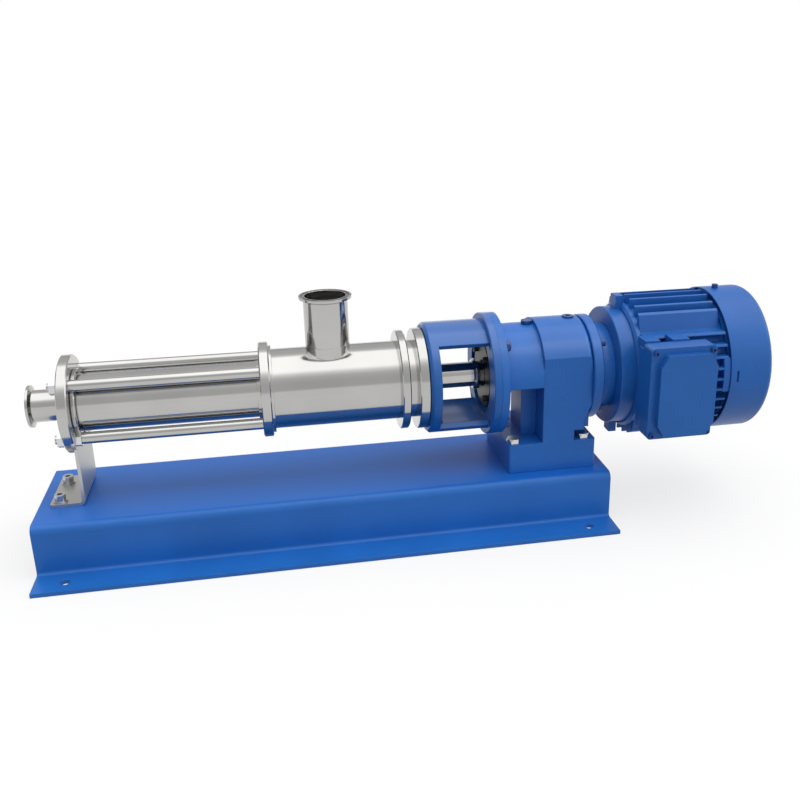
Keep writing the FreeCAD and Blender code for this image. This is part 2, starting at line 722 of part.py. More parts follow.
# Discharge support
plate_start = stator_start - S.support_sheet
foot_top = S.base_height + S.support_sheet
upright = block(plate_start, stator_start, -S.support_near, S.support_far, S.base_height, support_top)
tread = block(stator_start - S.support_foot, stator_start, -S.support_near, S.support_far,
              S.base_height, foot_top)
angle_plate = soften(join(upright, tread), S.support_sheet + 3,
                     straight("y", {"x": stator_start, "z": S.base_height}))
angle_plate = soften(angle_plate, 3, straight("y", {"x": plate_start, "z": foot_top}))
angle_plate = soften(angle_plate, 3, straight("z", {"x": stator_start - S.support_foot, "y": S.support_near}))
angle_plate = soften(angle_plate, 10, straight("z", {"x": stator_start - S.support_foot, "y": S.support_far}))
ears = [rod("x", plate_start, stator_start, S.support_ear, *around(S.rod_circle.value, a)) for a in (225, 315)]
cuts = [rod("x", plate_start - 1, stator_start + 1, S.rod_end / 2 + S.hole_play, *around(S.rod_circle.value, a))
        for a in (225, 315)]
cuts.append(rod("x", plate_start - 1, stator_start + 1, S.stator_collar / 2 + 1 + S.support_play))
cuts += [rod("z", S.base_height - 1, foot_top + 1, S.support_screw / 2 + S.hole_play, x, y)
         for x, y in support_places]
node("discharge_support", less(join(angle_plate, *ears), group(cuts)))


def cap_screw(axis, seat, tip, diameter, first, second, way=1):
    """A socket head screw whose head sits on a face; way is +1 when the head points along +axis."""
    diameter = size(diameter)
    top = size(seat) + diameter * way
    low, high = (seat, top) if way > 0 else (top, seat)
    head = rod(axis, low, high, diameter * 0.8, first, second)
    shank = rod(axis, tip if way > 0 else seat, seat if way > 0 else tip, diameter / 2, first, second)
    key_low, key_high = (top - diameter * 0.55, top + 1) if way > 0 else (top - 1, top + diameter * 0.55)
    return less(join(head, shank), hexagon(axis, key_low, key_high, diameter * 0.75, first, second))


def hex_bolt(axis, seat, tip, diameter, flats, height, first, second, way=1):
    """A hexagon head bolt whose head sits on a face."""
    top = size(seat) + size(height) * way
    low, high = (seat, top) if way > 0 else (top, seat)
    head = overlap(hexagon(axis, low, high, flats, first, second),
                   cone(axis, low, high,
                        size(flats) * (0.62 if way > 0 else 0.5), size(flats) * (0.5 if way > 0 else 0.62),
                        first, second))
    shank = rod(axis, tip if way > 0 else seat, seat if way > 0 else tip, size(diameter) / 2, first, second)
    return join(head, shank)


def washer(axis, low, high, outer, inner, first, second):
    """A flat ring."""
    return less(rod(axis, low, high, outer, first, second),
                rod(axis, size(low) - 1, size(high) + 1, inner, first, second))


screw_seat = foot_top + 1.6
node("support_screws", group([
    cap_screw("z", screw_seat, S.base_height - 22, S.support_screw, x, y) for x, y in support_places]))
node("support_washers", group(
    [washer("z", foot_top, screw_seat, 8, S.support_screw / 2 + 0.2, x, y) for x, y in support_places]))
under = S.base_height - S.base_sheet
node("support_nuts", group([
    less(hexagon("z", under - 6.5, under, 13, x, y),
         rod("z", under - 8, under + 1, S.support_screw / 2 + S.thread_play, x, y))
    for x, y in support_places]))

# Suction housing
housing_bore = S.housing_tube / 2 - S.housing_wall
branch = S.suction_centre
branch_bore = S.suction_tube / 2 - S.tube_wall
shell = turned([
    (stator_end, 0), (stator_end, S.end_flange / 2 - S.flange_edge),
    (stator_end + S.flange_edge, S.end_flange / 2), (housing_start - S.flange_edge, S.end_flange / 2),
    (housing_start, S.end_flange / 2 - S.flange_edge), (housing_start, S.weld_step / 2),
    (housing_start + S.weld_step_length, S.weld_step / 2),
    (housing_start + S.weld_step_length, S.housing_tube / 2),
    (rear_flange_start, S.housing_tube / 2), (rear_flange_start, S.rear_flange / 2 - S.flange_edge),
    (rear_flange_start + S.flange_edge, S.rear_flange / 2),
    (housing_end - S.flange_edge, S.rear_flange / 2), (housing_end, S.rear_flange / 2 - S.flange_edge),
    (housing_end, 0),
])
suction_rim = S.suction_height - S.ferrule_rim
suction_groove = S.suction_ferrule / 2 - 3.8
seam = AXIS + S.weld_saddle_height
shell = join(shell, cone("z", AXIS, seam, S.weld_saddle / 2 + 1, S.suction_tube / 2, branch, 0))
inside = join(rod("x", housing_start, rear_flange_start, housing_bore),
              rod("x", stator_end - 1, housing_start + 1, 30),
              rod("x", rear_flange_start - 1, housing_end + 1, S.rear_flange_bore / 2),
              rod("z", AXIS, seam + 1, S.branch_hole / 2, branch, 0))
groove = less(rod("z", S.suction_height - S.ferrule_gasket_depth, S.suction_height + 1,
                  suction_groove + S.ferrule_gasket_width / 2, branch, 0),
              rod("z", S.suction_height - S.ferrule_gasket_depth - 1, S.suction_height + 2,
                  suction_groove - S.ferrule_gasket_width / 2, branch, 0))
shell_holes = [rod("x", stator_end - 1, stator_end + S.rod_grip + 0.5, S.rod_end / 2 + S.thread_play,
                   *around(S.rod_circle.value, a)) for a in DIAGONALS]
shell_holes += [rod("x", housing_end - 8, housing_end + 1, S.cover_screw / 2 + S.thread_play,
                    *around(S.cover_screw_circle.value, a)) for a in CROSS]
node("suction_housing", less(shell, inside, *shell_holes))
tube = join(rod("z", seam, suction_rim, S.suction_tube / 2, branch, 0),
            rod("z", suction_rim, S.suction_height, S.suction_ferrule / 2, branch, 0),
            cone("z", suction_rim - S.ferrule_taper, suction_rim, S.suction_tube / 2, S.suction_ferrule / 2,
                 branch, 0))
node("suction_branch", less(tube, rod("z", seam - 1, S.suction_height + 1, branch_bore, branch, 0), groove))

# Seal cover, seals
shaft_radius = S.shaft / 2
seal_end = S.shaft_head_end + S.seal_ring_length
seat_start = seal_end + S.seal_face_gap
seat_end = seat_start + S.seal_seat_length
cover = turned([
    (housing_end - 6, 30), (housing_end - 6, S.rear_flange_bore / 2 - 0.1),
    (housing_end, S.rear_flange_bore / 2 - 0.1), (housing_end, S.cover_neck / 2),
    (cover_flange_start, S.cover_neck / 2), (cover_flange_start, S.cover_flange / 2 - S.flange_edge),
    (cover_flange_start + S.flange_edge, S.cover_flange / 2),
    (lantern_start - S.flange_edge, S.cover_flange / 2), (lantern_start, S.cover_flange / 2 - S.flange_edge),
    (lantern_start, shaft_radius + S.shaft_play), (seat_end, shaft_radius + S.shaft_play),
    (seat_end, S.seal_seat / 2 + 0.05), (seat_start, S.seal_seat / 2 + 0.05), (seat_start, 30),
])
cover_holes = []
for a in CROSS:
    y, z = around(S.cover_screw_circle.value, a)
    cover_holes += [rod("x", housing_end - 1, lantern_start, S.cover_screw / 2 + S.hole_play, y, z),
                    rod("x", lantern_start - S.cover_screw, lantern_start + 1,
                        S.cover_screw * 0.8 + S.hole_play, y, z)]
ring_angles = (60, 120, 240, 300)
for a in ring_angles:
    y, z = around(S.lantern_screw_circle.value, a)
    cover_holes.append(rod("x", lantern_start - 9, lantern_start + 1, S.cover_screw / 2 + S.thread_play, y, z))
node("seal_cover", less(cover, *cover_holes))
node("seal_cover_screws", group([
    cap_screw("x", lantern_start - S.cover_screw, housing_end - 7, S.cover_screw,
              *around(S.cover_screw_circle.value, a)) for a in CROSS]))
node("seal_seat", turned([
    (seat_start, shaft_radius + 1), (seat_start, S.seal_seat / 2), (seat_end, S.seal_seat / 2),
    (seat_end, shaft_radius + 1)]))
node("seal_rotating_ring", turned([
    (S.shaft_head_end, shaft_radius), (S.shaft_head_end, S.seal_ring / 2 + 1),
    (S.shaft_head_end + 5, S.seal_ring / 2 + 1), (S.shaft_head_end + 5, S.seal_ring / 2 - 3),
    (seal_end - 6, S.seal_ring / 2 - 3), (seal_end - 6, S.seal_ring / 2), (seal_end - 3, S.seal_ring / 2),
    (seal_end, S.seal_ring / 2 - 2), (seal_end, shaft_radius)]))

# Lantern
ring_end = lantern_start + S.lantern_rim
flange_start = gear_face - S.lantern_flange_thick
lantern_inside = S.lantern_tube / 2 - S.lantern_wall
lantern_body = turned([
    (lantern_start, S.lantern_rim_bore / 2), (lantern_start, S.lantern_tube / 2 - S.lantern_edge),
    (lantern_start + S.lantern_edge, S.lantern_tube / 2), (flange_start, S.lantern_tube / 2),
    (flange_start, S.lantern_flange / 2 - 1), (flange_start + 1, S.lantern_flange / 2),
    (gear_face, S.lantern_flange / 2), (gear_face, S.lantern_flange_bore / 2),
    (flange_start, S.lantern_flange_bore / 2), (flange_start, lantern_inside), (ring_end, lantern_inside),
    (ring_end, S.lantern_rim_bore / 2),
])
reach = S.lantern_tube
rise = reach * math.tan(math.radians(S.window_half_angle.value))
wedges = []
for side in (-1, 1):
    wedge, pad = padded([(side * 4, 0), (side * reach, rise), (side * reach, -rise)], "YZ_Plane",
                        flange_start - ring_end, x=ring_end, z=AXIS)
    wedges.append(wedge)
lantern_holes = []
for a in ring_angles:
    y, z = around(S.lantern_screw_circle.value, a)
    lantern_holes.append(rod("x", lantern_start - 1, ring_end + 1, S.cover_screw / 2 + S.hole_play, y, z))
for a in DIAGONALS:
    y, z = around(S.flange_bolt_circle.value, a)
    lantern_holes.append(rod("x", flange_start - 1, gear_face + 1, 4 + S.thread_play, y, z))
node("lantern", less(lantern_body, group(wedges), *lantern_holes))
node("lantern_screws", group([
    cap_screw("x", ring_end, lantern_start - 8, S.cover_screw, *around(S.lantern_screw_circle.value, a))
    for a in ring_angles]))

# Output bearing cover and its seal
cover_start = gear_face - S.bearing_cover_thick
cover_disc = turned([
    (cover_start, shaft_radius + S.shaft_play), (cover_start, S.bearing_cover / 2 - 2),
    (cover_start + 2, S.bearing_cover / 2), (gear_face, S.bearing_cover / 2),
    (gear_face, S.oil_seal / 2 + 0.05), (gear_face - S.oil_seal_width, S.oil_seal / 2 + 0.05),
    (gear_face - S.oil_seal_width, shaft_radius + S.shaft_play),
])
node("bearing_cover", less(cover_disc, *[
    rod("x", cover_start - 1, gear_face + 1, 2.5 + 0.3, *around(36, a)) for a in DIAGONALS]))
node("bearing_cover_screws", group([
    cap_screw("x", cover_start, gear_face + 8, 5, *around(36, a), -1) for a in DIAGONALS]))
node("output_oil_seal", turned([
    (gear_face - S.oil_seal_width, shaft_radius + 0.3), (gear_face - S.oil_seal_width, S.oil_seal / 2),
    (gear_face, S.oil_seal / 2), (gear_face, S.oil_seal / 2 - 3), (gear_face - 3, S.oil_seal / 2 - 3),
    (gear_face - 3, shaft_radius + 0.3)]))


def bearing(start, width, bore, outer, z):
    """A ball bearing drawn as one ring with a groove on each face."""
    start, width, bore, outer = size(start), size(width), size(bore), size(outer)
    third = (outer - bore) / 6
    return turned([
        (start, bore / 2), (start, bore / 2 + third), (start + 1.5, bore / 2 + third),
        (start + 1.5, outer / 2 - third), (start, outer / 2 - third), (start, outer / 2),
        (start + width, outer / 2), (start + width, outer / 2 - third),
        (start + width - 1.5, outer / 2 - third), (start + width - 1.5, bore / 2 + third),
        (start + width, bore / 2 + third), (start + width, bore / 2)], z)


# Gearbox housing
seat_bore = S.bearing_outer / 2 + 0.03
front_bearing = gear_face + 4
rear_bearing = S.cavity_front - S.rear_bearing_width
rear_bore = S.rear_bearing_outer / 2 + 0.03
lay_height = AXIS - S.gear_module * (S.pinion_teeth + S.wheel_teeth) / 2
foot_top_z = S.base_height + S.foot_height
half_block = S.gear_block_width / 2
neck = less(rod("x", gear_neck_start, S.gear_block_start, S.gear_neck / 2),
            block(gear_neck_start - 1, S.gear_block_start, -S.gear_neck, S.gear_neck,
                  AXIS - S.gear_neck, AXIS - S.neck_cut_drop))
dome = soften(overlap(
    join(rod("x", S.gear_block_start, block_end, S.gear_block_top),
         block(S.gear_block_start, block_end, -half_block, half_block, foot_top_z, AXIS)),
    block(S.gear_block_start, block_end, -half_block, half_block, foot_top_z, AXIS + S.gear_block_top + 1)),
    7, rim(x=block_end, radius=S.gear_block_top))
foot = block(S.foot_start, S.foot_start + S.foot_length, -half_block, half_block, S.base_height, foot_top_z)
foot = soften(foot, 3, straight("z"))
web = block(gear_neck_start + S.web_setback, S.gear_block_start + 1, -S.web_width / 2, S.web_width / 2,
            foot_top_z - 1, AXIS)
casting = join(rod("x", gear_face, gear_neck_start, S.lantern_flange / 2 - 0.4), neck, dome, foot, web,
               rod("x", gear_neck_start, gear_neck_start + 13, 36),
               rod("x", gear_neck_start, S.gear_block_start, 24))
hollows = [
    rod("x", gear_face - 1, front_bearing + S.bearing_width, seat_bore),
    rod("x", gear_face, rear_bearing + 1, S.bearing_seat / 2 + S.shaft_play),
    rod("x", rear_bearing, S.cavity_front + 1, rear_bore),
    block(S.cavity_front, block_end + 1, -S.cavity_half_width, S.cavity_half_width,
          AXIS - S.cavity_bottom, AXIS + S.cavity_top),
    rod("x", S.cavity_front - S.lay_bearing_width, S.cavity_front + 1, S.lay_bearing / 2 + 0.03, 0, lay_height),
    rod("z", AXIS + S.gear_neck / 2 - 12, AXIS + S.gear_neck / 2 + 1, 6.1, S.gear_block_start - 7.5, 0),
    rod("z", AXIS + S.cavity_top - 1, AXIS + S.gear_block_top + 1, 6.1, block_end - 16, 0),
]
for side in (-1, 1):
    y0 = half_block * side
    y1 = (half_block - S.foot_pocket) * side
    low, high = (y0, y1) if side < 0 else (y1, y0)
    hollows.append(block(block_end - S.foot_pocket, block_end + 1, low - 1, high + 1,
                         foot_top_z, foot_top_z + S.foot_pocket_height))
    edge = half_block + 1 if side > 0 else S.relief_width - half_block
    corner, pad = padded([
        (block_end - S.relief, foot_top_z), (block_end - S.relief, AXIS - S.relief_low),
        (block_end + 1, AXIS - S.relief_high), (block_end + 1, foot_top_z)],
        "XZ_Plane", S.relief_width + 1, y=edge)
    hollows.append(corner)
for x, y in foot_places:
    hollows.append(rod("z", S.base_height - 1, foot_top_z + 1, S.foot_bolt / 2 + S.hole_play, x, y))
for a in DIAGONALS:
    y, z = around(S.flange_bolt_circle.value, a)
    hollows.append(rod("x", gear_face - 1, gear_neck_start + 1, 4 + S.hole_play, y, z))
    hollows.append(rod("x", gear_face - 1, gear_face + 9, 2.5 + S.thread_play, *around(36, a)))
    hollows.append(rod("x", block_end - 12, block_end + 1, 3 + S.thread_play, *around(62, a)))
node("gearbox_housing", less(casting, *hollows))
node("lantern_bolts", group([
    hex_bolt("x", gear_neck_start, flange_start + 1, 8, 13, 5.6, *around(S.flange_bolt_circle.value, a))
    for a in DIAGONALS]))
node("foot_bolts", group([
    hex_bolt("z", foot_top_z, S.base_height - 16, S.foot_bolt, 16, 6.5, x, y) for x, y in foot_places]))
node("foot_nuts", group([
    less(hexagon("z", under - 8, under, 16, x, y),
         rod("z", under - 9, under + 1, S.foot_bolt / 2 + S.thread_play, x, y)) for x, y in foot_places]))
neck_top = AXIS + S.gear_neck / 2
level_plug = join(
    rod("z", neck_top - 11, neck_top + 1.5, 6, S.gear_block_start - 7.5, 0),
    rod("z", neck_top + 0.6, neck_top + 4.5, 7, S.gear_block_start - 7.5, 0))
breather_plug = less(
    join(rod("z", AXIS + S.cavity_top + 4, AXIS + S.gear_block_top + 0.6, 6, block_end - 16, 0),
         rod("z", AXIS + S.gear_block_top + 0.1, AXIS + S.gear_block_top + 1.6, 7.5, block_end - 16, 0)),
    hexagon("z", AXIS + S.gear_block_top - 3, AXIS + S.gear_block_top + 2, 6, block_end - 16, 0))
node("oil_plugs", group([level_plug, breather_plug]))
output_bore = S.bearing_seat + S.running_fit * 2
node("output_bearings", group([
    bearing(front_bearing, S.bearing_width, output_bore, S.bearing_outer, AXIS),
    bearing(rear_bearing, S.rear_bearing_width, output_bore, S.rear_bearing_outer, AXIS)]))
lay_bore = S.lay_shaft + S.running_fit * 2
node("layshaft_bearings", group([
    bearing(S.cavity_front - S.lay_bearing_width, S.lay_bearing_width, lay_bore, S.lay_bearing, lay_height),
    bearing(block_end, S.lay_bearing_width, lay_bore, S.lay_bearing, lay_height)]))

# Input cover
input_bore = S.motor_shaft / 2 + S.shaft_play
input_body = turned([
    (block_end, input_bore), (block_end, S.input_cover / 2 - 1), (block_end + 1, S.input_cover / 2),
    (input_neck_start - 2, S.input_cover / 2), (input_neck_start, S.input_cover / 2 - 2),
    (input_neck_start, S.input_neck / 2), (motor_face, S.input_neck / 2), (motor_face, 44),
    (input_neck_start + 3, 44), (input_neck_start + 3, 20.05), (block_end + 5, 20.05), (block_end + 5, input_bore),
])
cover_cuts = [
    block(block_end - 1, input_neck_start + 1, -80, 80, AXIS + 64, AXIS + 80),
    rod("x", block_end - 1, block_end + S.lay_bearing_width, S.lay_bearing / 2 + 0.03, 0, lay_height),
]
for a in DIAGONALS:
    y, z = around(62, a)
    cover_cuts += [rod("x", block_end - 1, input_neck_start + 1, 3 + S.hole_play, y, z)]
    cover_cuts += [rod("x", motor_face - 14, motor_face + 1, 3 + S.thread_play, *around(49.5, a))]
node("input_cover", less(input_body, *cover_cuts))
node("input_cover_screws", group([
    cap_screw("x", input_neck_start, block_end - 11, 6, *around(62, a)) for a in DIAGONALS]))
node("input_oil_seal", turned([
    (block_end + 5, S.motor_shaft / 2 + 0.3), (block_end + 5, 20), (block_end + 12, 20), (block_end + 12, 17),
    (block_end + 8, 17), (block_end + 8, S.motor_shaft / 2 + 0.3)]))


def gear_points(teeth):
    """Corners of a toothed outline with thinned involute teeth, one tooth centred on the first axis."""
    module = S.gear_module.value
    pitch_radius = module * teeth / 2
    base_radius = pitch_radius * math.cos(math.radians(20))
    root_radius = pitch_radius - 1.25 * module
    tip_radius = pitch_radius + 0.95 * module

    def involute(radius):
        turn = math.acos(min(1.0, base_radius / radius))
        return math.tan(turn) - turn

    half_tooth = math.pi / (2 * teeth) - S.gear_backlash.value / (2 * pitch_radius)
    half_tooth += involute(pitch_radius)
    radii = [root_radius]
    low = max(base_radius, root_radius)
    for step in (0.0, 0.3, 0.65, 1.0):
        radii.append(low + (tip_radius - low) * step)
    points = []
    for tooth in range(int(teeth)):
        middle = 2 * math.pi * tooth / teeth
        flank = [(r, half_tooth - involute(max(r, base_radius))) for r in radii]
        for r, a in flank:
            points.append((r, middle - a))
        for r, a in reversed(flank):
            points.append((r, middle + a))
    return [Vector(r * math.cos(a), r * math.sin(a), 0) for r, a in points]


def gear(teeth, start, width, bore, height, turn=0.0):
    """A spur gear on a shaft along X."""
    corners = gear_points(teeth.value)
    spin = Rotation(Vector(0, 0, 1), turn)
    corners = [spin.multVec(c) for c in corners]
    flat = doc.addObject("Part::Feature", "Teeth")
    flat.Shape = Part.Face(Part.makePolygon(corners + corners[:1]))
    body = doc.addObject("Part::Extrusion", "Gear")
    body.Base = flat
    body.DirMode = "Custom"
    body.Dir = Vector(0, 0, 1)
    body.Solid = True
    bind(body, "LengthFwd", width)
    place(body, start, 0, height, TURN["x"])
    return less(body, rod("x", size(start) - 1, size(start) + width + 1, bore, 0, height))


# Drive shaft
head_start = S.drive_joint - 16
gear_end = S.output_gear_start + S.output_gear_width
shaft_body = turned([
    (head_start, 0), (head_start, S.shaft_head / 2 - 2), (head_start + 2, S.shaft_head / 2),
    (S.shaft_head_end, S.shaft_head / 2), (S.shaft_head_end, shaft_radius), (front_bearing, shaft_radius),
    (front_bearing, S.bearing_seat / 2), (gear_end + 1, S.bearing_seat / 2), (gear_end + 1, 0),
])
node("drive_shaft", less(
    shaft_body,
    rod("x", head_start - 1, S.drive_joint + S.eye_reach + 1, S.joint_bore / 2),
    rod("y", -S.shaft_head / 2 - 1, S.shaft_head / 2 + 1, S.joint_pin / 2, S.drive_joint, AXIS)))
node("drive_joint_pin", rod("y", -S.shaft_head / 2 + 1, S.shaft_head / 2 - 1, S.joint_pin / 2,
                            S.drive_joint, AXIS))
node("shaft_slinger", turned([
    (S.slinger_place, shaft_radius), (S.slinger_place, S.slinger / 2),
    (S.slinger_place + S.slinger_width, S.slinger / 2 + 2), (S.slinger_place + S.slinger_width + 1,
                                                            S.slinger / 2 + 2),
    (S.slinger_place + S.slinger_width + 1, shaft_radius)]))
node("output_gear", gear(S.wheel_teeth, S.output_gear_start, S.output_gear_width, S.bearing_seat / 2, AXIS))

# Pump rotor
rotor_z = AXIS - S.eccentricity
screw_end = screw_start + screw_length
rotor_joint = -S.rotor_joint
rotor_head_end = rotor_joint + 13
bore_bottom = rotor_joint - S.eye_reach - S.thrust_ball - S.ball_play * 2
rotor_head = rod("x", screw_end - 0.5, rotor_head_end, S.rotor_head / 2, 0, rotor_z)
node("pump_rotor", less(
    join(screw, rotor_head),
    rod("x", bore_bottom, rotor_head_end + 1, S.joint_bore / 2, 0, rotor_z),
    rod("y", -S.rotor_head / 2 - 1, S.rotor_head / 2 + 1, S.joint_pin / 2, rotor_joint, rotor_z)))
node("rotor_joint_pin", rod("y", -S.rotor_head / 2 + 1, S.rotor_head / 2 - 1, S.joint_pin / 2,
                            rotor_joint, rotor_z))
node("thrust_ball", ball(S.thrust_ball / 2, bore_bottom + S.ball_play + S.thrust_ball / 2, 0, rotor_z))

# Coupling rod, drawn from the rotor joint centre along its own axis and then tilted
rod_span = Size(math.hypot(S.rotor_joint.value + S.drive_joint.value, S.eccentricity.value),
                "sqrt((%s + %s)^2 + %s^2)" % (S.rotor_joint.text, S.drive_joint.text, S.eccentricity.text))
eye = S.rod_eye / 2
link = join(
    rod("x", -S.eye_reach + 2, rod_span + S.eye_reach - 2, S.rod_shank / 2, 0, 0),
    rod("x", -S.eye_reach + 1, 11, eye, 0, 0),
    rod("x", rod_span - 11, rod_span + S.eye_reach - 1, eye, 0, 0),
    cone("x", -S.eye_reach, -S.eye_reach + 1, eye - 1, eye, 0, 0),
    cone("x", rod_span + S.eye_reach - 1, rod_span + S.eye_reach, eye, eye - 1, 0, 0))
link = less(link,
            rod("y", -eye - 1, eye + 1, S.joint_pin / 2 + S.joint_pin_play, 0, 0),
            rod("y", -eye - 1, eye + 1, S.joint_pin / 2 + S.joint_pin_play, rod_span, 0))
tilt = math.degrees(math.atan2(S.eccentricity.value, S.rotor_joint.value + S.drive_joint.value))
place(link, rotor_joint, 0, rotor_z, Rotation(Vector(0, -1, 0), tilt))
node("coupling_rod", link)

# Layshaft
lay_end = block_end + S.lay_bearing_width
pinion_bore = S.lay_shaft / 2
node("layshaft", rod("x", S.cavity_front - S.lay_bearing_width + 0.5, lay_end - 0.5, pinion_bore, 0, lay_height))
node("layshaft_pinion", gear(S.pinion_teeth, S.output_gear_start - S.pinion_extra,
                             S.output_gear_width + S.pinion_extra * 2, pinion_bore, lay_height))
node("layshaft_wheel", gear(S.wheel_teeth, S.lay_gear_start, S.lay_gear_width, pinion_bore, lay_height))

# Motor shaft and rotor
stack_start = frame_start + (S.frame_length - S.stack_length) / 2
stack_end = stack_start + S.stack_length
pinion_start = S.lay_gear_start - S.pinion_extra
motor_front_bearing = shield_start - S.motor_bearing_width
motor_rear_bearing = frame_end + 2
fan_end = S.fan_start + S.fan_width + 4
node("motor_shaft", turned([
    (pinion_start, 0), (pinion_start, S.pinion_seat / 2), (block_end - 6, S.pinion_seat / 2),
    (block_end - 6, S.motor_shaft / 2), (fan_end, S.motor_shaft / 2), (fan_end, 0)]))
node("input_pinion", gear(S.pinion_teeth, pinion_start, S.lay_gear_width + S.pinion_extra * 2,
                          S.pinion_seat / 2, AXIS, 180))
node("motor_rotor_core", turned([
    (stack_start, S.motor_shaft / 2), (stack_start, S.stack_bore / 2 - S.air_gap - 5),
    (stack_start - 5, S.stack_bore / 2 - S.air_gap - 5), (stack_start - 5, S.stack_bore / 2 - S.air_gap - 1),
    (stack_start, S.stack_bore / 2 - S.air_gap), (stack_end, S.stack_bore / 2 - S.air_gap),
    (stack_end + 5, S.stack_bore / 2 - S.air_gap - 1), (stack_end + 5, S.stack_bore / 2 - S.air_gap - 5),
    (stack_end, S.stack_bore / 2 - S.air_gap - 5), (stack_end, S.motor_shaft / 2)]))

# Motor end shields, frame and core
spigot = S.frame_bore / 2 - 0.05
node_shield = turned([
    (motor_face, input_bore), (motor_face, S.motor_disc / 2 - 1), (motor_face + 1, S.motor_disc / 2),
    (shield_start, S.motor_disc / 2), (shield_start, S.shield_diameter / 2 - 3),
    (shield_start + 3, S.shield_diameter / 2), (frame_start, S.shield_diameter / 2), (frame_start, spigot),
    (frame_start + 4, spigot), (frame_start + 4, spigot - 5), (shield_start + 2, spigot - 8),
    (shield_start + 2, S.motor_bearing / 2 + 8), (shield_start, S.motor_bearing / 2 + 8),
    (shield_start, S.motor_bearing / 2 + 0.03), (motor_front_bearing, S.motor_bearing / 2 + 0.03),
    (motor_front_bearing, input_bore),
])
shield_cuts = []
for a in DIAGONALS:
    y, z = around(49.5, a)
    shield_cuts += [rod("x", motor_face - 1, shield_start + 3, 3 + S.hole_play, y, z),
                    rod("x", shield_start - 4, shield_start + 3, 6, y, z)]
lug_start = shield_start - S.shield_lug_set
lug_stop = lug_start + S.shield_lug_length
half = S.shield_lug_width / 2
reach = S.shield_lug_radius
shield_lugs = overlap(
    join(block(lug_start, lug_stop, -half, half, AXIS - reach, AXIS - S.motor_disc / 2 + 4),
         block(lug_start, lug_stop, -half, half, AXIS + S.motor_disc / 2 - 4, AXIS + reach),
         block(lug_start, lug_stop, S.motor_disc / 2 - 4, reach, AXIS - half, AXIS + half)),
    rod("x", lug_start, lug_stop, reach))
node("motor_drive_shield", less(join(node_shield, shield_lugs), *shield_cuts))
node("motor_flange_screws", group([
    cap_screw("x", shield_start - 4, motor_face - 12, 6, *around(49.5, a)) for a in DIAGONALS]))
node("motor_bearings", group([
    bearing(motor_front_bearing, S.motor_bearing_width, S.motor_shaft + S.running_fit * 2, S.motor_bearing, AXIS),
    bearing(motor_rear_bearing, S.motor_bearing_width, S.motor_shaft + S.running_fit * 2, S.motor_bearing,
            AXIS)]))

over = S.frame_over_fins / 2
core = S.frame_core / 2
fins = []
for i in range(-2, 3):
    middle = S.top_fin_pitch * i
    fins.append(block(frame_start, frame_end, middle - S.fin_thick / 2, middle + S.fin_thick / 2,
                      AXIS - over, AXIS + over))
for i in range(-4, 4):
    middle = AXIS + S.fin_pitch * (i + 0.5)
    fins.append(block(frame_start, frame_end - S.bar_length, -over, over,
                      middle - S.fin_thick / 2, middle + S.fin_thick / 2))
corners = []
for side in (-1, 1):
    for up in (-1, 1):
        points = [(0, 0)]
        for angle in (S.corner_from, S.corner_to):
            turn = math.radians(angle.value)
            points.append((over * 1.5 * side * math.sin(turn), over * 1.5 * up * math.cos(turn)))
        corner, corner_pad = padded(points, "YZ_Plane", S.frame_length, x=frame_start, z=AXIS)
        corners.append(corner)
bars = [block(frame_end - S.bar_length, frame_end, low, high, AXIS - S.bar_below, AXIS + S.bar_above)
        for low, high in ((-over, 0), (0, over))]
ribs = overlap(rod("x", frame_start, frame_end, over), join(*fins, *corners, *bars))
box_middle = AXIS - S.box_drop
pad_low = box_middle - S.box_height / 2 + S.pad_reach
pad_high = box_middle + S.box_height / 2 - S.pad_reach
pad_end = S.box_start + S.pad_length
seat = join(block(frame_start, pad_end, -S.box_seat, -S.frame_bore / 2 + 20, pad_low, pad_high),
            block(S.box_start, frame_start + 1, -S.box_seat, S.pad_thick - S.box_seat, pad_low, pad_high))
boss_start = S.box_start + S.pad_boss_start
boss_end = boss_start + S.pad_boss_length
bosses = [block(low, high, -S.box_seat, S.pad_boss_reach - S.box_seat, pad_high - 1, pad_high + S.pad_boss_rise)
          for low, high in ((boss_start, boss_end), (boss_end + S.pad_boss_gap, pad_end))]
frame = join(rod("x", frame_start, frame_end, core), ribs, seat, *bosses)
cable_line = S.box_start + S.pad_length / 2 + 7
cable = [rod("y", -S.box_seat - 1, -S.frame_bore / 2 + 10, 14, cable_line, AXIS)]
node("motor_frame", less(frame, rod("x", frame_start - 1, frame_end + 1, S.frame_bore / 2), *cable))
stack_outer = S.frame_bore / 2 - 0.03
node("stator_core", turned([
    (stack_start, S.stack_bore / 2), (stack_start, stack_outer), (stack_end, stack_outer),
    (stack_end, S.stack_bore / 2)]))
node("stator_winding", group([turned([
    (start, 46), (start, 68), (start + S.winding_length, 68), (start + S.winding_length, 46)])
    for start in (stack_start - S.winding_length, stack_end)]))

lug_places = [(0, -1), (0, 1), (-1, 0), (1, 0)]
cowl_inside = S.cowl_diameter / 2 - S.cowl_sheet
lug_top = cowl_inside - 0.1
rear_body = turned([
    (frame_end - 4, spigot - 5), (frame_end - 4, spigot), (frame_end, spigot),
    (frame_end, S.fan_shield_diameter / 2), (frame_end + 6, S.fan_shield_diameter / 2),
    (frame_end + 8, S.fan_shield_diameter / 2 - 4), (frame_end + 8, S.motor_bearing / 2 + 8),
    (frame_end + 17, S.motor_bearing / 2 + 6), (frame_end + 17, S.motor_shaft / 2 + 1.5),
    (frame_end + 15, S.motor_shaft / 2 + 1.5), (frame_end + 15, S.motor_bearing / 2 + 0.03),
    (frame_end, S.motor_bearing / 2 + 0.03), (frame_end, spigot - 5),
])
lugs = []
lug_cuts = []
cowl_cuts = []
cowl_screws = []
screw_line = S.cowl_start + 16
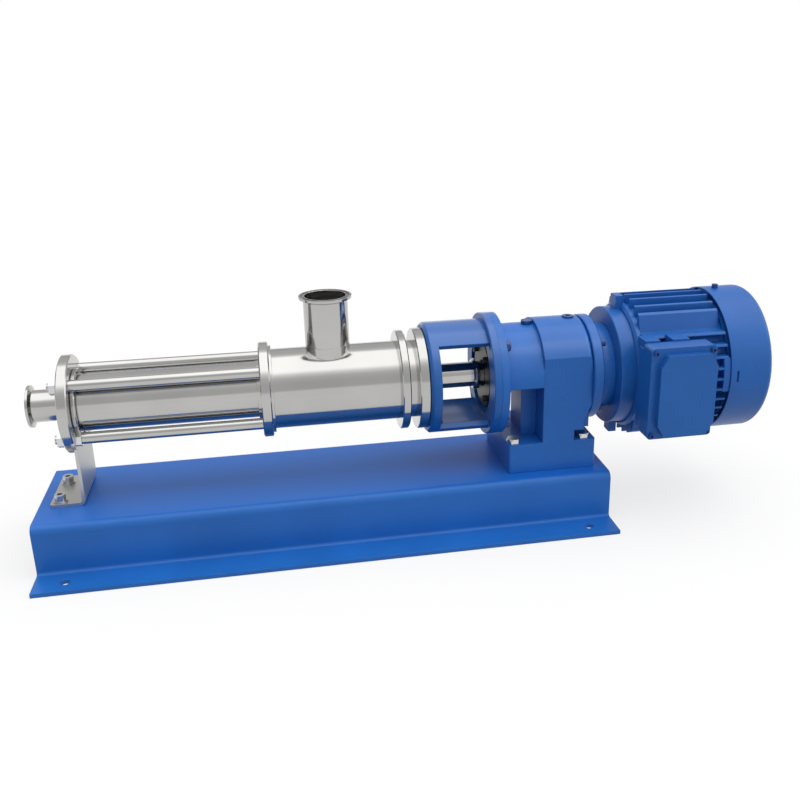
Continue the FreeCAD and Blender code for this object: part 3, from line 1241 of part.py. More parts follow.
for j, k in lug_places:
    wide = S.lug_width / 2
    if k:
        low, high = (AXIS + 78 * k, AXIS + 100 * k) if k > 0 else (AXIS + 100 * k, AXIS + 78 * k)
        lugs.append(block(frame_end, S.lug_end, -wide, wide, low, high))
        top = AXIS + S.cowl_diameter / 2 * k
        tip = AXIS + 80 * k
        low, high = (tip, top) if k > 0 else (top, tip)
        lug_cuts.append(rod("z", low - 1, high + 1, 2.5 + 0.1, screw_line, 0))
        cowl_cuts.append(rod("z", low - 1, high + 1, 2.5 + 0.4, screw_line, 0))
        cowl_screws.append(cap_screw("z", top, tip, 5, screw_line, 0, k))
    else:
        low, high = (78 * j, 100 * j) if j > 0 else (100 * j, 78 * j)
        lugs.append(block(frame_end, S.lug_end, low, high, AXIS - wide, AXIS + wide))
        if j < 0:
            cowl_cuts.append(block(S.cowl_start + S.cowl_slot_line - S.cowl_slot / 2,
                                   S.cowl_start + S.cowl_slot_line + S.cowl_slot / 2, -S.cowl_diameter / 2 - 1,
                                   -S.cowl_diameter / 2 + 6, AXIS + 3 - S.cowl_slot_height / 2,
                                   AXIS + 3 + S.cowl_slot_height / 2))
            continue
        top = S.cowl_diameter / 2 * j
        tip = size(80 * j)
        low, high = (tip, top) if j > 0 else (top, tip)
        lug_cuts.append(rod("y", low - 1, high + 1, 2.5 + 0.1, screw_line, AXIS))
        cowl_cuts.append(rod("y", low - 1, high + 1, 2.5 + 0.4, screw_line, AXIS))
        cowl_screws.append(cap_screw("y", top, tip, 5, screw_line, AXIS, j))
lug_body = overlap(join(*lugs), rod("x", frame_end, S.lug_end, lug_top))
node("motor_fan_shield", less(join(rear_body, lug_body), *lug_cuts))

# Fan
blade_radius = S.fan_diameter / 2
blades = []
for i in range(7):
    blade = block(S.fan_start + 1, S.fan_start + S.fan_width, 15, blade_radius, -1.25, 1.25)
    blade.Placement = Placement(Vector(S.fan_start.value + 1, 0, AXIS.value),
                                Rotation(Vector(1, 0, 0), 360.0 * i / 7)).multiply(
        Placement(Vector(0, 15, -1.25), Rotation()))
    blade.setExpression("Placement.Base.x", None)
    blade.setExpression("Placement.Base.y", None)
    blade.setExpression("Placement.Base.z", None)
    blades.append(blade)
disc = turned([
    (S.fan_start, 12), (S.fan_start, blade_radius), (S.fan_start + 2.5, blade_radius),
    (S.fan_start + 2.5, S.fan_hub / 2), (S.fan_start + S.fan_width, S.fan_hub / 2 - 2),
    (S.fan_start + S.fan_width, 12),
])
node("cooling_fan", less(join(disc, *blades),
                         rod("x", S.fan_start - 1, S.fan_start + S.fan_width + 1, S.motor_shaft / 2)))

# Fan cowl
cowl_end = S.cowl_start + S.cowl_length
cowl_radius = S.cowl_diameter / 2
cup = less(soften(rod("x", S.cowl_start, cowl_end, cowl_radius), S.cowl_round, rim(x=cowl_end)),
           soften(rod("x", S.cowl_start - 1, cowl_end - S.cowl_sheet, cowl_inside), S.cowl_round - S.cowl_sheet,
                  rim(x=cowl_end - S.cowl_sheet)))
rings = [washer("x", cowl_end - 4, cowl_end + 2, r + 5, r, 0, AXIS) for r in (18, 29, 40, 51, 62)]
spokes = [block(cowl_end - 5, cowl_end + 3, -80, 80, AXIS - 2.5, AXIS + 2.5),
          block(cowl_end - 5, cowl_end + 3, -2.5, 2.5, AXIS - 80, AXIS + 80)]
node("fan_cowl", less(cup, less(group(rings), *spokes), *cowl_cuts))
node("cowl_screws", group(cowl_screws))

# Terminal box
box_end = S.box_start + S.box_length
box_low = box_middle - S.box_height / 2
box_high = box_middle + S.box_height / 2
lid_back = -S.box_front + S.box_panel_rise + S.box_lid_thick
lid_front = -S.box_front + S.box_panel_rise
wall = S.box_wall
outer_box = soften(block(S.box_start, box_end, lid_back, -S.box_seat, box_low, box_high), 5, straight("y"))
hollow = block(S.box_start + wall, box_end - wall, lid_back - 1, -S.box_seat - wall, box_low + wall,
               box_high - wall)
inset = S.lid_screw_edge
lid_screw_places = [(x, z) for x in (S.box_start + inset, box_end - inset)
                    for z in (box_low + inset, box_high - inset)]
posts = [rod("y", lid_back, -S.box_seat - wall, 5.5, x, z) for x, z in lid_screw_places]
base_screws = [(S.box_start + 28, AXIS + 30), (box_end - 22, AXIS + 30),
               (S.box_start + 28, AXIS - 30), (box_end - 22, AXIS - 30)]
box_cuts = [rod("y", lid_back - 1, lid_back + 14, 2 + S.thread_play, x, z) for x, z in lid_screw_places]
box_cuts.append(rod("y", -S.box_seat - wall - 1, -S.box_seat + 1, 14, cable_line, AXIS))
node("terminal_box", less(join(less(outer_box, hollow), *posts), *box_cuts))
lid = soften(block(S.box_start, box_end, lid_front, lid_back, box_low, box_high), 5, straight("y"))
along, up = S.panel_corner, S.panel_corner_high
panel_low, panel_high = box_low + S.panel_bottom, box_high - S.panel_top
left, right = S.box_start + S.panel_left, box_end - S.panel_right
panel, panel_pad = padded([
    (left + along, panel_low), (right - along, panel_low), (right, panel_low + up),
    (right, panel_high - up), (right - along, panel_high), (left + along, panel_high),
    (left, panel_high - up), (left, panel_low + up)], "XZ_Plane", S.box_panel_rise, y=lid_front)
lid_cuts = [rod("y", lid_front - 1, lid_back + 1, 2 + S.hole_play, x, z) for x, z in lid_screw_places]
node("terminal_box_lid", less(join(lid, panel), *lid_cuts))
node("lid_screws", group([cap_screw("y", lid_front, lid_back + 12, 4, x, z, -1)
                          for x, z in lid_screw_places]))
board = block(S.box_start + 22, box_end - 14, -S.box_seat - wall - 6, -S.box_seat - wall,
              AXIS + 18, AXIS + 46)
board = join(board, *[rod("y", -S.box_seat - wall - 16, -S.box_seat - wall - 1, 3,
                          S.box_start + 22 + 11 * (i + 0.5) + 3, AXIS + 25 + 14 * j)
                      for i in range(3) for j in range(2)])
node("terminal_board", board)

doc.recompute()

os.makedirs("parts", exist_ok=True)
for item in doc.Objects:
    if "Invalid" in item.State or "Error" in item.State:
        raise RuntimeError("%s is in error" % item.Name)
for name, item in nodes.items():
    if item.Shape.isNull() or not item.Shape.isValid():
        raise RuntimeError("bad shape: " + name)
    Part.export([item], "parts/%s.step" % name)
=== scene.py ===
"""Looks of a sanitary progressive cavity pump with an inline geared motor.

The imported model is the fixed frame, and each of its nodes gets a finish. Three classes make pieces of their
own: the finned motor frame, the stator's end collar and the gearbox's input cover. The studio sets up the
camera, the floor and the light.
"""
from __future__ import annotations

import json
import logging
import math
from dataclasses import dataclass, field
from enum import Enum
from typing import Sequence, Union

import bmesh
import bpy
from mathutils import Matrix, Vector

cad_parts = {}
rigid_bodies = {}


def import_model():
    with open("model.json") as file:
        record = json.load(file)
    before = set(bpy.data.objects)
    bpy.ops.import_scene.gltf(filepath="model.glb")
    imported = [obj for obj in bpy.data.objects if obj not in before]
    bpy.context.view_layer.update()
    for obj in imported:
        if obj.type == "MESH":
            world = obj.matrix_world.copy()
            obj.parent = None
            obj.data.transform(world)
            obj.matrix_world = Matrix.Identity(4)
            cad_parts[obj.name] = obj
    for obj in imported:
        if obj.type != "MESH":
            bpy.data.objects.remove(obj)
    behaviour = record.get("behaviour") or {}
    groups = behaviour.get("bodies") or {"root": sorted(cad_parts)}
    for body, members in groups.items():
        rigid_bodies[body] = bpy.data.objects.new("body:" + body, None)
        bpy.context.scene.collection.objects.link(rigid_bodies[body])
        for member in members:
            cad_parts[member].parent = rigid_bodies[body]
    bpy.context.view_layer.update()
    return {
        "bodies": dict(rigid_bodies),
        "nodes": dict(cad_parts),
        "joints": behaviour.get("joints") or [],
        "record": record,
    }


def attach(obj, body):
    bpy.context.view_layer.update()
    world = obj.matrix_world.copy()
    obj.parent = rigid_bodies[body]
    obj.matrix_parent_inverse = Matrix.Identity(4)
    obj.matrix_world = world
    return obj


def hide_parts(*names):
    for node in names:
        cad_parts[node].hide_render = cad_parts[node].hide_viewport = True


LOG = logging.getLogger("pump")
Number = Union[int, float]
Value = Union["Wire", int, float]
Pair = tuple[float, float]
Triple = tuple[float, float, float]
Colour = Triple
MM = 0.001
PUMP_AXIS = 184.0


class Side(Enum):
    """The four directions across the pump axis, as steps along y and z."""

    TOP = (0, 1)
    BOTTOM = (0, -1)
    FRONT = (-1, 0)
    BACK = (1, 0)


class Sheen(Enum):
    """How rough a finish is: a small value has clear reflections."""

    BUFFED = 0.1
    POLISHED = 0.12
    TURNED = 0.13
    PLATED = 0.26
    GROUND = 0.3
    ENAMELLED = 0.34
    SPRAYED = 0.36
    DRAWN = 0.4
    BRUSHED = 0.42
    STACKED = 0.5
    DULL = 0.6


class Wire:
    """A shader socket whose arithmetic adds Math nodes."""

    def __init__(self, graph: "Graph", socket: bpy.types.NodeSocket | None) -> None:
        """Keeps the graph and the output socket."""
        self.graph = graph
        self.socket = socket

    def _math(self, operation: str, *values: Value) -> "Wire":
        """A Math node on these values."""
        return self.graph.node("ShaderNodeMath", {"operation": operation}, dict(enumerate(values)))

    def __add__(self, other: Value) -> "Wire":
        """Sum."""
        return self._math("ADD", self, other)

    def __radd__(self, other: Number) -> "Wire":
        """Sum with the number first."""
        return self._math("ADD", other, self)

    def __sub__(self, other: Value) -> "Wire":
        """Difference."""
        return self._math("SUBTRACT", self, other)

    def __rsub__(self, other: Number) -> "Wire":
        """Difference with the number first."""
        return self._math("SUBTRACT", other, self)

    def __mul__(self, other: Value) -> "Wire":
        """Product."""
        return self._math("MULTIPLY", self, other)

    def __rmul__(self, other: Number) -> "Wire":
        """Product with the number first."""
        return self._math("MULTIPLY", other, self)

    def angle_to(self, other: Value) -> "Wire":
        """The angle in radians whose sine and cosine run as this value and the other."""
        return self._math("ARCTAN2", self, other)

    def between(self, low: Number, high: Number) -> "Wire":
        """A smooth step from zero at low to one at high."""
        return self.graph.node(
            "ShaderNodeMapRange",
            {"interpolation_type": "SMOOTHSTEP"},
            {"Value": self, "From Min": low, "From Max": high},
        )


class Graph:
    """The node tree of one material or world."""

    def __init__(self, tree: bpy.types.NodeTree) -> None:
        """Clears the tree and keeps it."""
        self.tree = tree
        tree.nodes.clear()

    def node(
        self,
        kind: str,
        settings: dict[str, object] | None = None,
        inputs: dict[Union[str, int], object] | None = None,
        output: Union[str, int] = 0,
    ) -> Wire:
        """Adds any node.

        Args:
            kind: the node's type name.
            settings: properties, or ramp stops under "stops", set before the sockets.
            inputs: socket names or places with values or wires.
            output: the output that the returned wire reads.

        Returns:
            The wire of that output.
        """
        made = self.tree.nodes.new(kind)
        for name, value in (settings or {}).items():
            if name == "stops":
                self._stops(made, value)
            else:
                setattr(made, name, value)
        for name, value in (inputs or {}).items():
            socket = made.inputs[name]
            if isinstance(value, Wire):
                self.tree.links.new(value.socket, socket)
            else:
                socket.default_value = value
        return Wire(self, made.outputs[output] if made.outputs else None)

    def _stops(self, made: bpy.types.Node, stops: Sequence[tuple[float, Colour]]) -> None:
        """Sets a colour ramp's stops.

        Args:
            made: the ramp node.
            stops: places from zero to one, each with its colour.
        """
        ramp = made.color_ramp
        while len(ramp.elements) > 1:
            ramp.elements.remove(ramp.elements[-1])
        ramp.elements[0].position = stops[0][0]
        ramp.elements[0].color = (*stops[0][1], 1.0)
        for place, colour in stops[1:]:
            ramp.elements.new(place).color = (*colour, 1.0)

    def mix(self, share: Value, first: Union[Wire, Colour], second: Union[Wire, Colour]) -> Wire:
        """Mixes two colours by a share of the second.

        Args:
            share: how much of the second colour shows.
            first: a colour or wire.
            second: a colour or wire.

        Returns:
            The mixed colour.
        """
        low, high = (colour if isinstance(colour, Wire) else (*colour, 1.0) for colour in (first, second))
        return self.node("ShaderNodeMix", {"data_type": "RGBA"}, {0: share, 6: low, 7: high}, output=2)

    def place(self) -> Wire:
        """The point in the object's own metres."""
        return self.node("ShaderNodeTexCoord", output="Object")

    def part(self, vector: Wire, letter: str) -> Wire:
        """One coordinate of a vector."""
        return self.node("ShaderNodeSeparateXYZ", None, {0: vector}, letter.upper())

    def stretched(self, vector: Wire, scale: Triple) -> Wire:
        """A vector multiplied by three factors."""
        return self.node("ShaderNodeVectorMath", {"operation": "MULTIPLY"}, {0: vector, 1: scale})

    def length(self, vector: Wire) -> Wire:
        """A vector's length."""
        return self.node("ShaderNodeVectorMath", {"operation": "LENGTH"}, {0: vector}, "Value")

    def noise(self, vector: Wire, scale: float, detail: float = 3.0, rough: float = 0.55) -> Wire:
        """Perlin noise from zero to one."""
        inputs = {"Vector": vector, "Scale": scale, "Detail": detail, "Roughness": rough}
        return self.node("ShaderNodeTexNoise", None, inputs)

    def rounded(self, radius: float) -> Wire:
        """The normal of a surface whose edges are broken by this radius."""
        return self.node("ShaderNodeBevel", {"samples": 4}, {"Radius": radius})

    def bumped(self, height: Wire, strength: float, distance: float, normal: Wire | None = None) -> Wire:
        """The normal of a surface with fine relief.

        Args:
            height: the relief.
            strength: how much of it shows.
            distance: its depth, in metres.
            normal: the normal that it starts from, if not the surface's own.

        Returns:
            The new normal.
        """
        inputs: dict[Union[str, int], object] = {"Strength": strength, "Distance": distance, "Height": height}
        if normal is not None:
            inputs["Normal"] = normal
        return self.node("ShaderNodeBump", None, inputs)


def new_material(name: str) -> tuple[bpy.types.Material, Graph]:
    """A new material with an empty node tree.

    Args:
        name: the material's name.

    Returns:
        The material and its tree.
    """
    made = bpy.data.materials.new(name)
    made.use_nodes = True
    return made, Graph(made.node_tree)


def surface(graph: Graph, inputs: dict[Union[str, int], object]) -> None:
    """Ends a material's tree with one Principled shader."""
    shader = graph.node("ShaderNodeBsdfPrincipled", None, inputs)
    graph.node("ShaderNodeOutputMaterial", None, {"Surface": shader})


@dataclass(frozen=True)
class Enamel:
    """Sprayed enamel over casting or sheet.

    cast_depth is the weight of the casting's grain, edge the radius of its edges in metres, gloss the clear
    lacquer on faces that look up, top_loss the share of it that level faces miss, and lit_top_height the
    height in metres of the upward faces that are painted lighter as painted light. shade, light and
    painted_top_light
    are factors on the colour: painted_top_light makes the painted light on those faces.
    """

    name: str
    colour: Colour = (0.009, 0.117, 0.44)
    cast_depth: float = 0.0
    edge: float = 0.0018
    sheen: Sheen = Sheen.ENAMELLED
    gloss: float = 0.5
    top_loss: float = 0.0
    lit_top_height: float | None = None
    shade: float = 0.91
    light: float = 1.06
    dust: Colour = (0.16, 0.24, 0.42)
    painted_top_light: Colour = (0.85, 1.03, 1.13)

    def build(self) -> bpy.types.Material:
        """The enamel with tone drift, dust, orange peel, cast grain and rounded edges.

        Returns:
            The material.
        """
        made, g = new_material(self.name)
        at = g.place()
        drift = g.noise(at, scale=9.0, detail=4.0)
        speck = g.noise(at, scale=240.0, detail=2.0)
        peel = g.noise(at, scale=900.0, detail=1.0)
        grain = g.noise(at, scale=420.0, detail=3.0, rough=0.6)
        upward = g.part(g.node("ShaderNodeNewGeometry", output="True Normal"), "z")
        dark = tuple(c * self.shade for c in self.colour)
        pale = tuple(min(1.0, c * self.light + 0.002) for c in self.colour)
        colour = g.mix(drift.between(0.3, 0.72), dark, pale)
        colour = g.mix((speck - 0.62).between(0.0, 0.14) * 0.12, colour, self.dust)
        # Painted light: upward faces at the top height of the base get a lighter, bluer colour in place of
        # the light that the pump's shade takes off them.
        if self.lit_top_height:
            level = upward.between(0.8, 1.0) * g.part(at, "z").between(self.lit_top_height - 0.004, self.lit_top_height)
            painted_top_colour = tuple(c * factor for c, factor in zip(self.colour, self.painted_top_light))
            colour = g.mix(level * drift.between(-0.6, 0.5), colour, painted_top_colour)
        crest = 1.0 - upward.between(0.7, 0.8) * self.top_loss
        height = peel * 0.35 + grain * self.cast_depth
        surface(g, {
            "Base Color": colour,
            "Metallic": 0.0,
            "Roughness": drift * 0.12 + (self.sheen.value - 0.05) + speck * 0.06,
            "IOR": 1.4,
            "Normal": g.bumped(height, strength=0.22, distance=0.0006, normal=g.rounded(self.edge)),
            "Coat Weight": upward.between(0.1, 0.5) * crest * self.gloss,
            "Coat Roughness": 0.16,
        })
        return made


@dataclass(frozen=True)
class Steel:
    """Bare or polished metal.

    along stretches the polishing lines, lines is their strength, edge the radius of the edges in metres, and
    bore the middle's x and the radius, both in metres, of an upright bore whose inside gets painted light, a
    near-white colour.
    """

    name: str
    colour: Colour = (0.48, 0.476, 0.464)
    sheen: Sheen = Sheen.TURNED
    along: Triple = (1.0, 1.0, 1.0)
    lines: float = 0.3
    edge: float = 0.0006
    shade: float = 0.94
    bore: Pair | None = None
    bore_painted_light: Colour = (0.92, 0.915, 0.9)

    def build(self) -> bpy.types.Material:
        """The metal with fine polishing lines, smudges and rounded edges.

        Returns:
            The material.
        """
        made, g = new_material(self.name)
        at = g.place()
        smear = g.noise(at, scale=14.0, detail=3.0)
        line = g.noise(g.stretched(at, self.along), scale=60.0, detail=3.0, rough=0.7)
        fine = g.noise(g.stretched(at, self.along), scale=300.0, detail=2.0, rough=0.6)
        colour = g.mix(smear.between(0.35, 0.7), tuple(c * self.shade for c in self.colour), self.colour)
        # Painted light: inside the upright bore the metal turns near white, so the shaded hollow reads
        # bright.
        if self.bore:
            middle, radius = self.bore
            across = g.node("ShaderNodeVectorMath", {"operation": "SUBTRACT"}, {0: at, 1: (middle, 0.0, 0.0)})
            out = g.length(g.stretched(across, (1.0, 1.0, 0.0)))
            colour = g.mix(1.0 - out.between(radius, radius + 0.0006), colour, self.bore_painted_light)
        height = line * 0.6 + fine * 0.4
        surface(g, {
            "Base Color": colour,
            "Metallic": 1.0,
            "Roughness": smear * 0.08 + fine * 0.05 + (self.sheen.value - 0.06),
            "Normal": g.bumped(height, strength=self.lines, distance=0.0002, normal=g.rounded(self.edge)),
        })
        return made


@dataclass(frozen=True)
class Moulded:
    """Plastic, rubber or ceramic."""

    name: str
    colour: Colour = (0.02, 0.02, 0.021)
    sheen: Sheen = Sheen.DULL

    def build(self) -> bpy.types.Material:
        """The moulding with a fine grain.

        Returns:
            The material.
        """
        made, g = new_material(self.name)
        at = g.place()
        drift = g.noise(at, scale=30.0)
        skin = g.noise(at, scale=500.0, detail=2.0)
        surface(g, {
            "Base Color": g.mix(drift, self.colour, tuple(c * 1.5 + 0.004 for c in self.colour)),
            "Metallic": 0.0,
            "Roughness": skin * 0.1 + (self.sheen.value - 0.05),
            "Normal": g.bumped(skin, strength=0.15, distance=0.0004),
        })
        return made


FINISHES: tuple[Union[Enamel, Steel, Moulded], ...] = (
    Enamel("enamel_sheet", edge=0.0015, gloss=0.05),
    Enamel("enamel_base", (0.014, 0.147, 0.53), edge=0.0015, gloss=0.05, lit_top_height=0.066),
    Enamel("enamel_cast", cast_depth=0.6, gloss=0.75),
    Enamel("enamel_gear", (0.011, 0.137, 0.51), cast_depth=0.6, gloss=0.65, top_loss=0.6),
    Enamel("enamel_motor", cast_depth=0.35, edge=0.001, sheen=Sheen.SPRAYED, gloss=0.25),
    Enamel("enamel_box", cast_depth=0.2, edge=0.0012, gloss=0.6),
    Enamel("enamel_fastener", (0.009, 0.062, 0.25), cast_depth=0.1, edge=0.0004),
    Steel("stainless_tube", sheen=Sheen.BUFFED, along=(25.0, 1.0, 1.0), lines=0.12),
    Steel("stainless_branch", sheen=Sheen.POLISHED, along=(1.0, 1.0, 12.0), lines=0.12, bore=(0.005, 0.0252)),
    Steel("stainless_turned", lines=0.15),
    Steel("stainless_plate", (0.55, 0.545, 0.53), sheen=Sheen.BRUSHED, along=(1.0, 1.0, 12.0), lines=0.2),
    Steel("zinc_fastener", (0.62, 0.63, 0.64), sheen=Sheen.PLATED),
    Steel("ground_steel", (0.5, 0.5, 0.5), sheen=Sheen.GROUND),
    Steel("laminated_steel", (0.22, 0.22, 0.23), sheen=Sheen.STACKED, along=(60.0, 1.0, 1.0), lines=0.6),
    Steel("dark_cast", (0.05, 0.05, 0.045), sheen=Sheen.BRUSHED),
    Steel("copper_wire", (0.5, 0.2, 0.08), sheen=Sheen.DRAWN, lines=0.6),
    Moulded("black_rubber"),
    Moulded("black_plastic", (0.015, 0.015, 0.016), Sheen.BRUSHED),
    Moulded("carbon_face", (0.03, 0.03, 0.033), Sheen.GROUND),
)

NODES_OF: dict[str, tuple[str, ...]] = {
    "enamel_base": ("base_plate",),
    "enamel_sheet": ("fan_cowl",),
    "enamel_box": ("terminal_box", "terminal_box_lid"),
    "enamel_cast": ("lantern",),
    "enamel_gear": ("gearbox_housing", "input_cover"),
    "enamel_motor": ("motor_drive_shield", "motor_frame", "motor_fan_shield"),
    "enamel_fastener": ("oil_plugs", "lantern_bolts", "input_cover_screws", "motor_flange_screws",
                        "lid_screws", "cowl_screws", "lantern_screws"),
    "stainless_tube": ("stator_tube", "suction_housing", "tie_rods", "drive_shaft"),
    "stainless_branch": ("suction_branch",),
    "stainless_turned": ("discharge_casing", "seal_cover", "shaft_slinger", "pump_rotor", "coupling_rod",
                         "drive_joint_pin", "rotor_joint_pin"),
    "stainless_plate": ("discharge_support",),
    "zinc_fastener": ("tie_rod_nuts", "support_lock_nuts", "support_screws", "support_washers",
                      "support_nuts", "foot_bolts", "foot_nuts", "seal_cover_screws"),
    "ground_steel": ("output_bearings", "layshaft_bearings", "motor_bearings", "layshaft", "layshaft_pinion",
                     "layshaft_wheel", "output_gear", "input_pinion", "motor_shaft", "thrust_ball"),
    "laminated_steel": ("stator_core", "motor_rotor_core"),
    "dark_cast": ("bearing_cover", "bearing_cover_screws"),
    "copper_wire": ("stator_winding",),
    "black_rubber": ("stator_lining", "output_oil_seal", "input_oil_seal"),
    "black_plastic": ("cooling_fan", "terminal_board"),
    "carbon_face": ("seal_seat", "seal_rotating_ring"),
}


@dataclass
class Finishes:
    """Every finish of the pump, built once."""

    made: dict[str, bpy.types.Material] = field(default_factory=dict)

    def build(self) -> None:
        """Builds all finishes and keeps each under its name."""
        self.made = {finish.name: finish.build() for finish in FINISHES}


@dataclass
class Dresser:
    """Gives every node of the frame its finish."""

    frame: dict
    finishes: Finishes

    def dress(self) -> dict[str, str]:
        """Assigns the materials.

        Returns:
            The finish of each node, by name.
        """
        finish_of = {node: finish for finish, nodes in NODES_OF.items() for node in nodes}
        worn = {}
        for node, piece in self.frame["nodes"].items():
            material = self.finishes.made[finish_of[node]]
            piece.data.materials.clear()
            piece.data.materials.append(material)
            worn[node] = material.name
        return worn


@dataclass(frozen=True)
class Hole:
    """A round hole along x, in millimetres."""

    y: float
    z: float
    radius: float
    start: float
    end: float


class Shell:
    """A mesh put together from closed prisms and rings, all along the pump axis, in millimetres."""

    ring_sides: int = 96
    hole_sides: int = 32
    edge_steps: int = 2
    edge_angle: float = 50.0

    def __init__(self, name: str) -> None:
        """Starts an empty mesh."""
        self.name = name
        self.mesh = bmesh.new()

    def prism(self, outline: Sequence[Pair], start: float, end: float) -> None:
        """Adds a prism along x.

        Args:
            outline: its corners as y and z, in order.
            start: x of one end.
            end: x of the other end.
        """
        rings = [[self.mesh.verts.new((x * MM, y * MM, z * MM)) for y, z in outline] for x in (start, end)]
        faces = [self.mesh.faces.new(rings[0]), self.mesh.faces.new(rings[1][::-1])]
        for i, corner in enumerate(rings[0]):
            j = (i + 1) % len(outline)
            faces.append(self.mesh.faces.new((corner, rings[1][i], rings[1][j], rings[0][j])))
        bmesh.ops.recalc_face_normals(self.mesh, faces=faces)

    def block(self, x: Pair, y: Pair, z: Pair) -> None:
        """Adds a block between these limits."""
        self.prism(((y[0], z[0]), (y[1], z[0]), (y[1], z[1]), (y[0], z[1])), *x)

    def turned(self, profile: Sequence[Pair], axis: float) -> None:
        """Adds a solid of revolution about a line along x, with crisp corners.

        Args:
            profile: its closed section as x and radius.
            axis: height of the line.
        """
        sides = self.ring_sides
        turns = [2 * math.pi * i / sides for i in range(sides)]
        loops = [
            [self.mesh.verts.new((x * MM, radius * math.sin(a) * MM, (axis + radius * math.cos(a)) * MM))
             for a in turns]
            for x, radius in profile
        ]
        faces = []
        for near, far in zip(loops, loops[1:] + loops[:1]):
            for i in range(sides):
                j = (i + 1) % sides
                faces.append(self.mesh.faces.new((near[i], near[j], far[j], far[i])))
                faces[-1].smooth = True
            for i in range(sides):
                self.mesh.edges.get((near[i], near[(i + 1) % sides])).smooth = False
        bmesh.ops.recalc_face_normals(self.mesh, faces=faces)

    def drilled(self, made: bpy.types.Object, hole: Hole) -> None:
        """Cuts a round hole.

        Args:
            made: the object to cut.
            hole: where, how wide and how deep.
        """
        cutter = bmesh.new()
        middle = Matrix.Translation(((hole.start + hole.end) / 2 * MM, hole.y * MM, hole.z * MM))
        radius = hole.radius * MM
        bmesh.ops.create_cone(
            cutter, cap_ends=True, segments=self.hole_sides, radius1=radius, radius2=radius,
            depth=(hole.end - hole.start) * MM, matrix=middle @ Matrix.Rotation(math.pi / 2, 4, "Y"))
        data = bpy.data.meshes.new("cutter")
        cutter.to_mesh(data)
        cutter.free()
        tool = bpy.data.objects.new("cutter", data)
        bpy.context.scene.collection.objects.link(tool)
        cut = made.modifiers.new("cut", "BOOLEAN")
        cut.object = tool
        cut.operation = "DIFFERENCE"
        cut.solver = "EXACT"
        solid = bpy.data.meshes.new_from_object(made.evaluated_get(bpy.context.evaluated_depsgraph_get()))
        made.modifiers.remove(cut)
        made.data = solid
        bpy.data.objects.remove(tool)

    def finish(
        self, material: bpy.types.Material, bevel: float, holes: Sequence[Hole] = ()
    ) -> bpy.types.Object:
        """Makes the object.

        Args:
            material: its finish.
            bevel: width of the broken edges, in millimetres.
            holes: the round holes to cut.

        Returns:
            The object.
        """
        data = bpy.data.meshes.new(self.name)
        self.mesh.to_mesh(data)
        self.mesh.free()
        data.materials.append(material)
        made = bpy.data.objects.new(self.name, data)
        bpy.context.scene.collection.objects.link(made)
        for hole in holes:
            self.drilled(made, hole)
        edges = made.modifiers.new("edges", "BEVEL")
        edges.width = bevel * MM
        edges.segments = self.edge_steps
        edges.limit_method = "ANGLE"
        edges.angle_limit = math.radians(self.edge_angle)
        return made


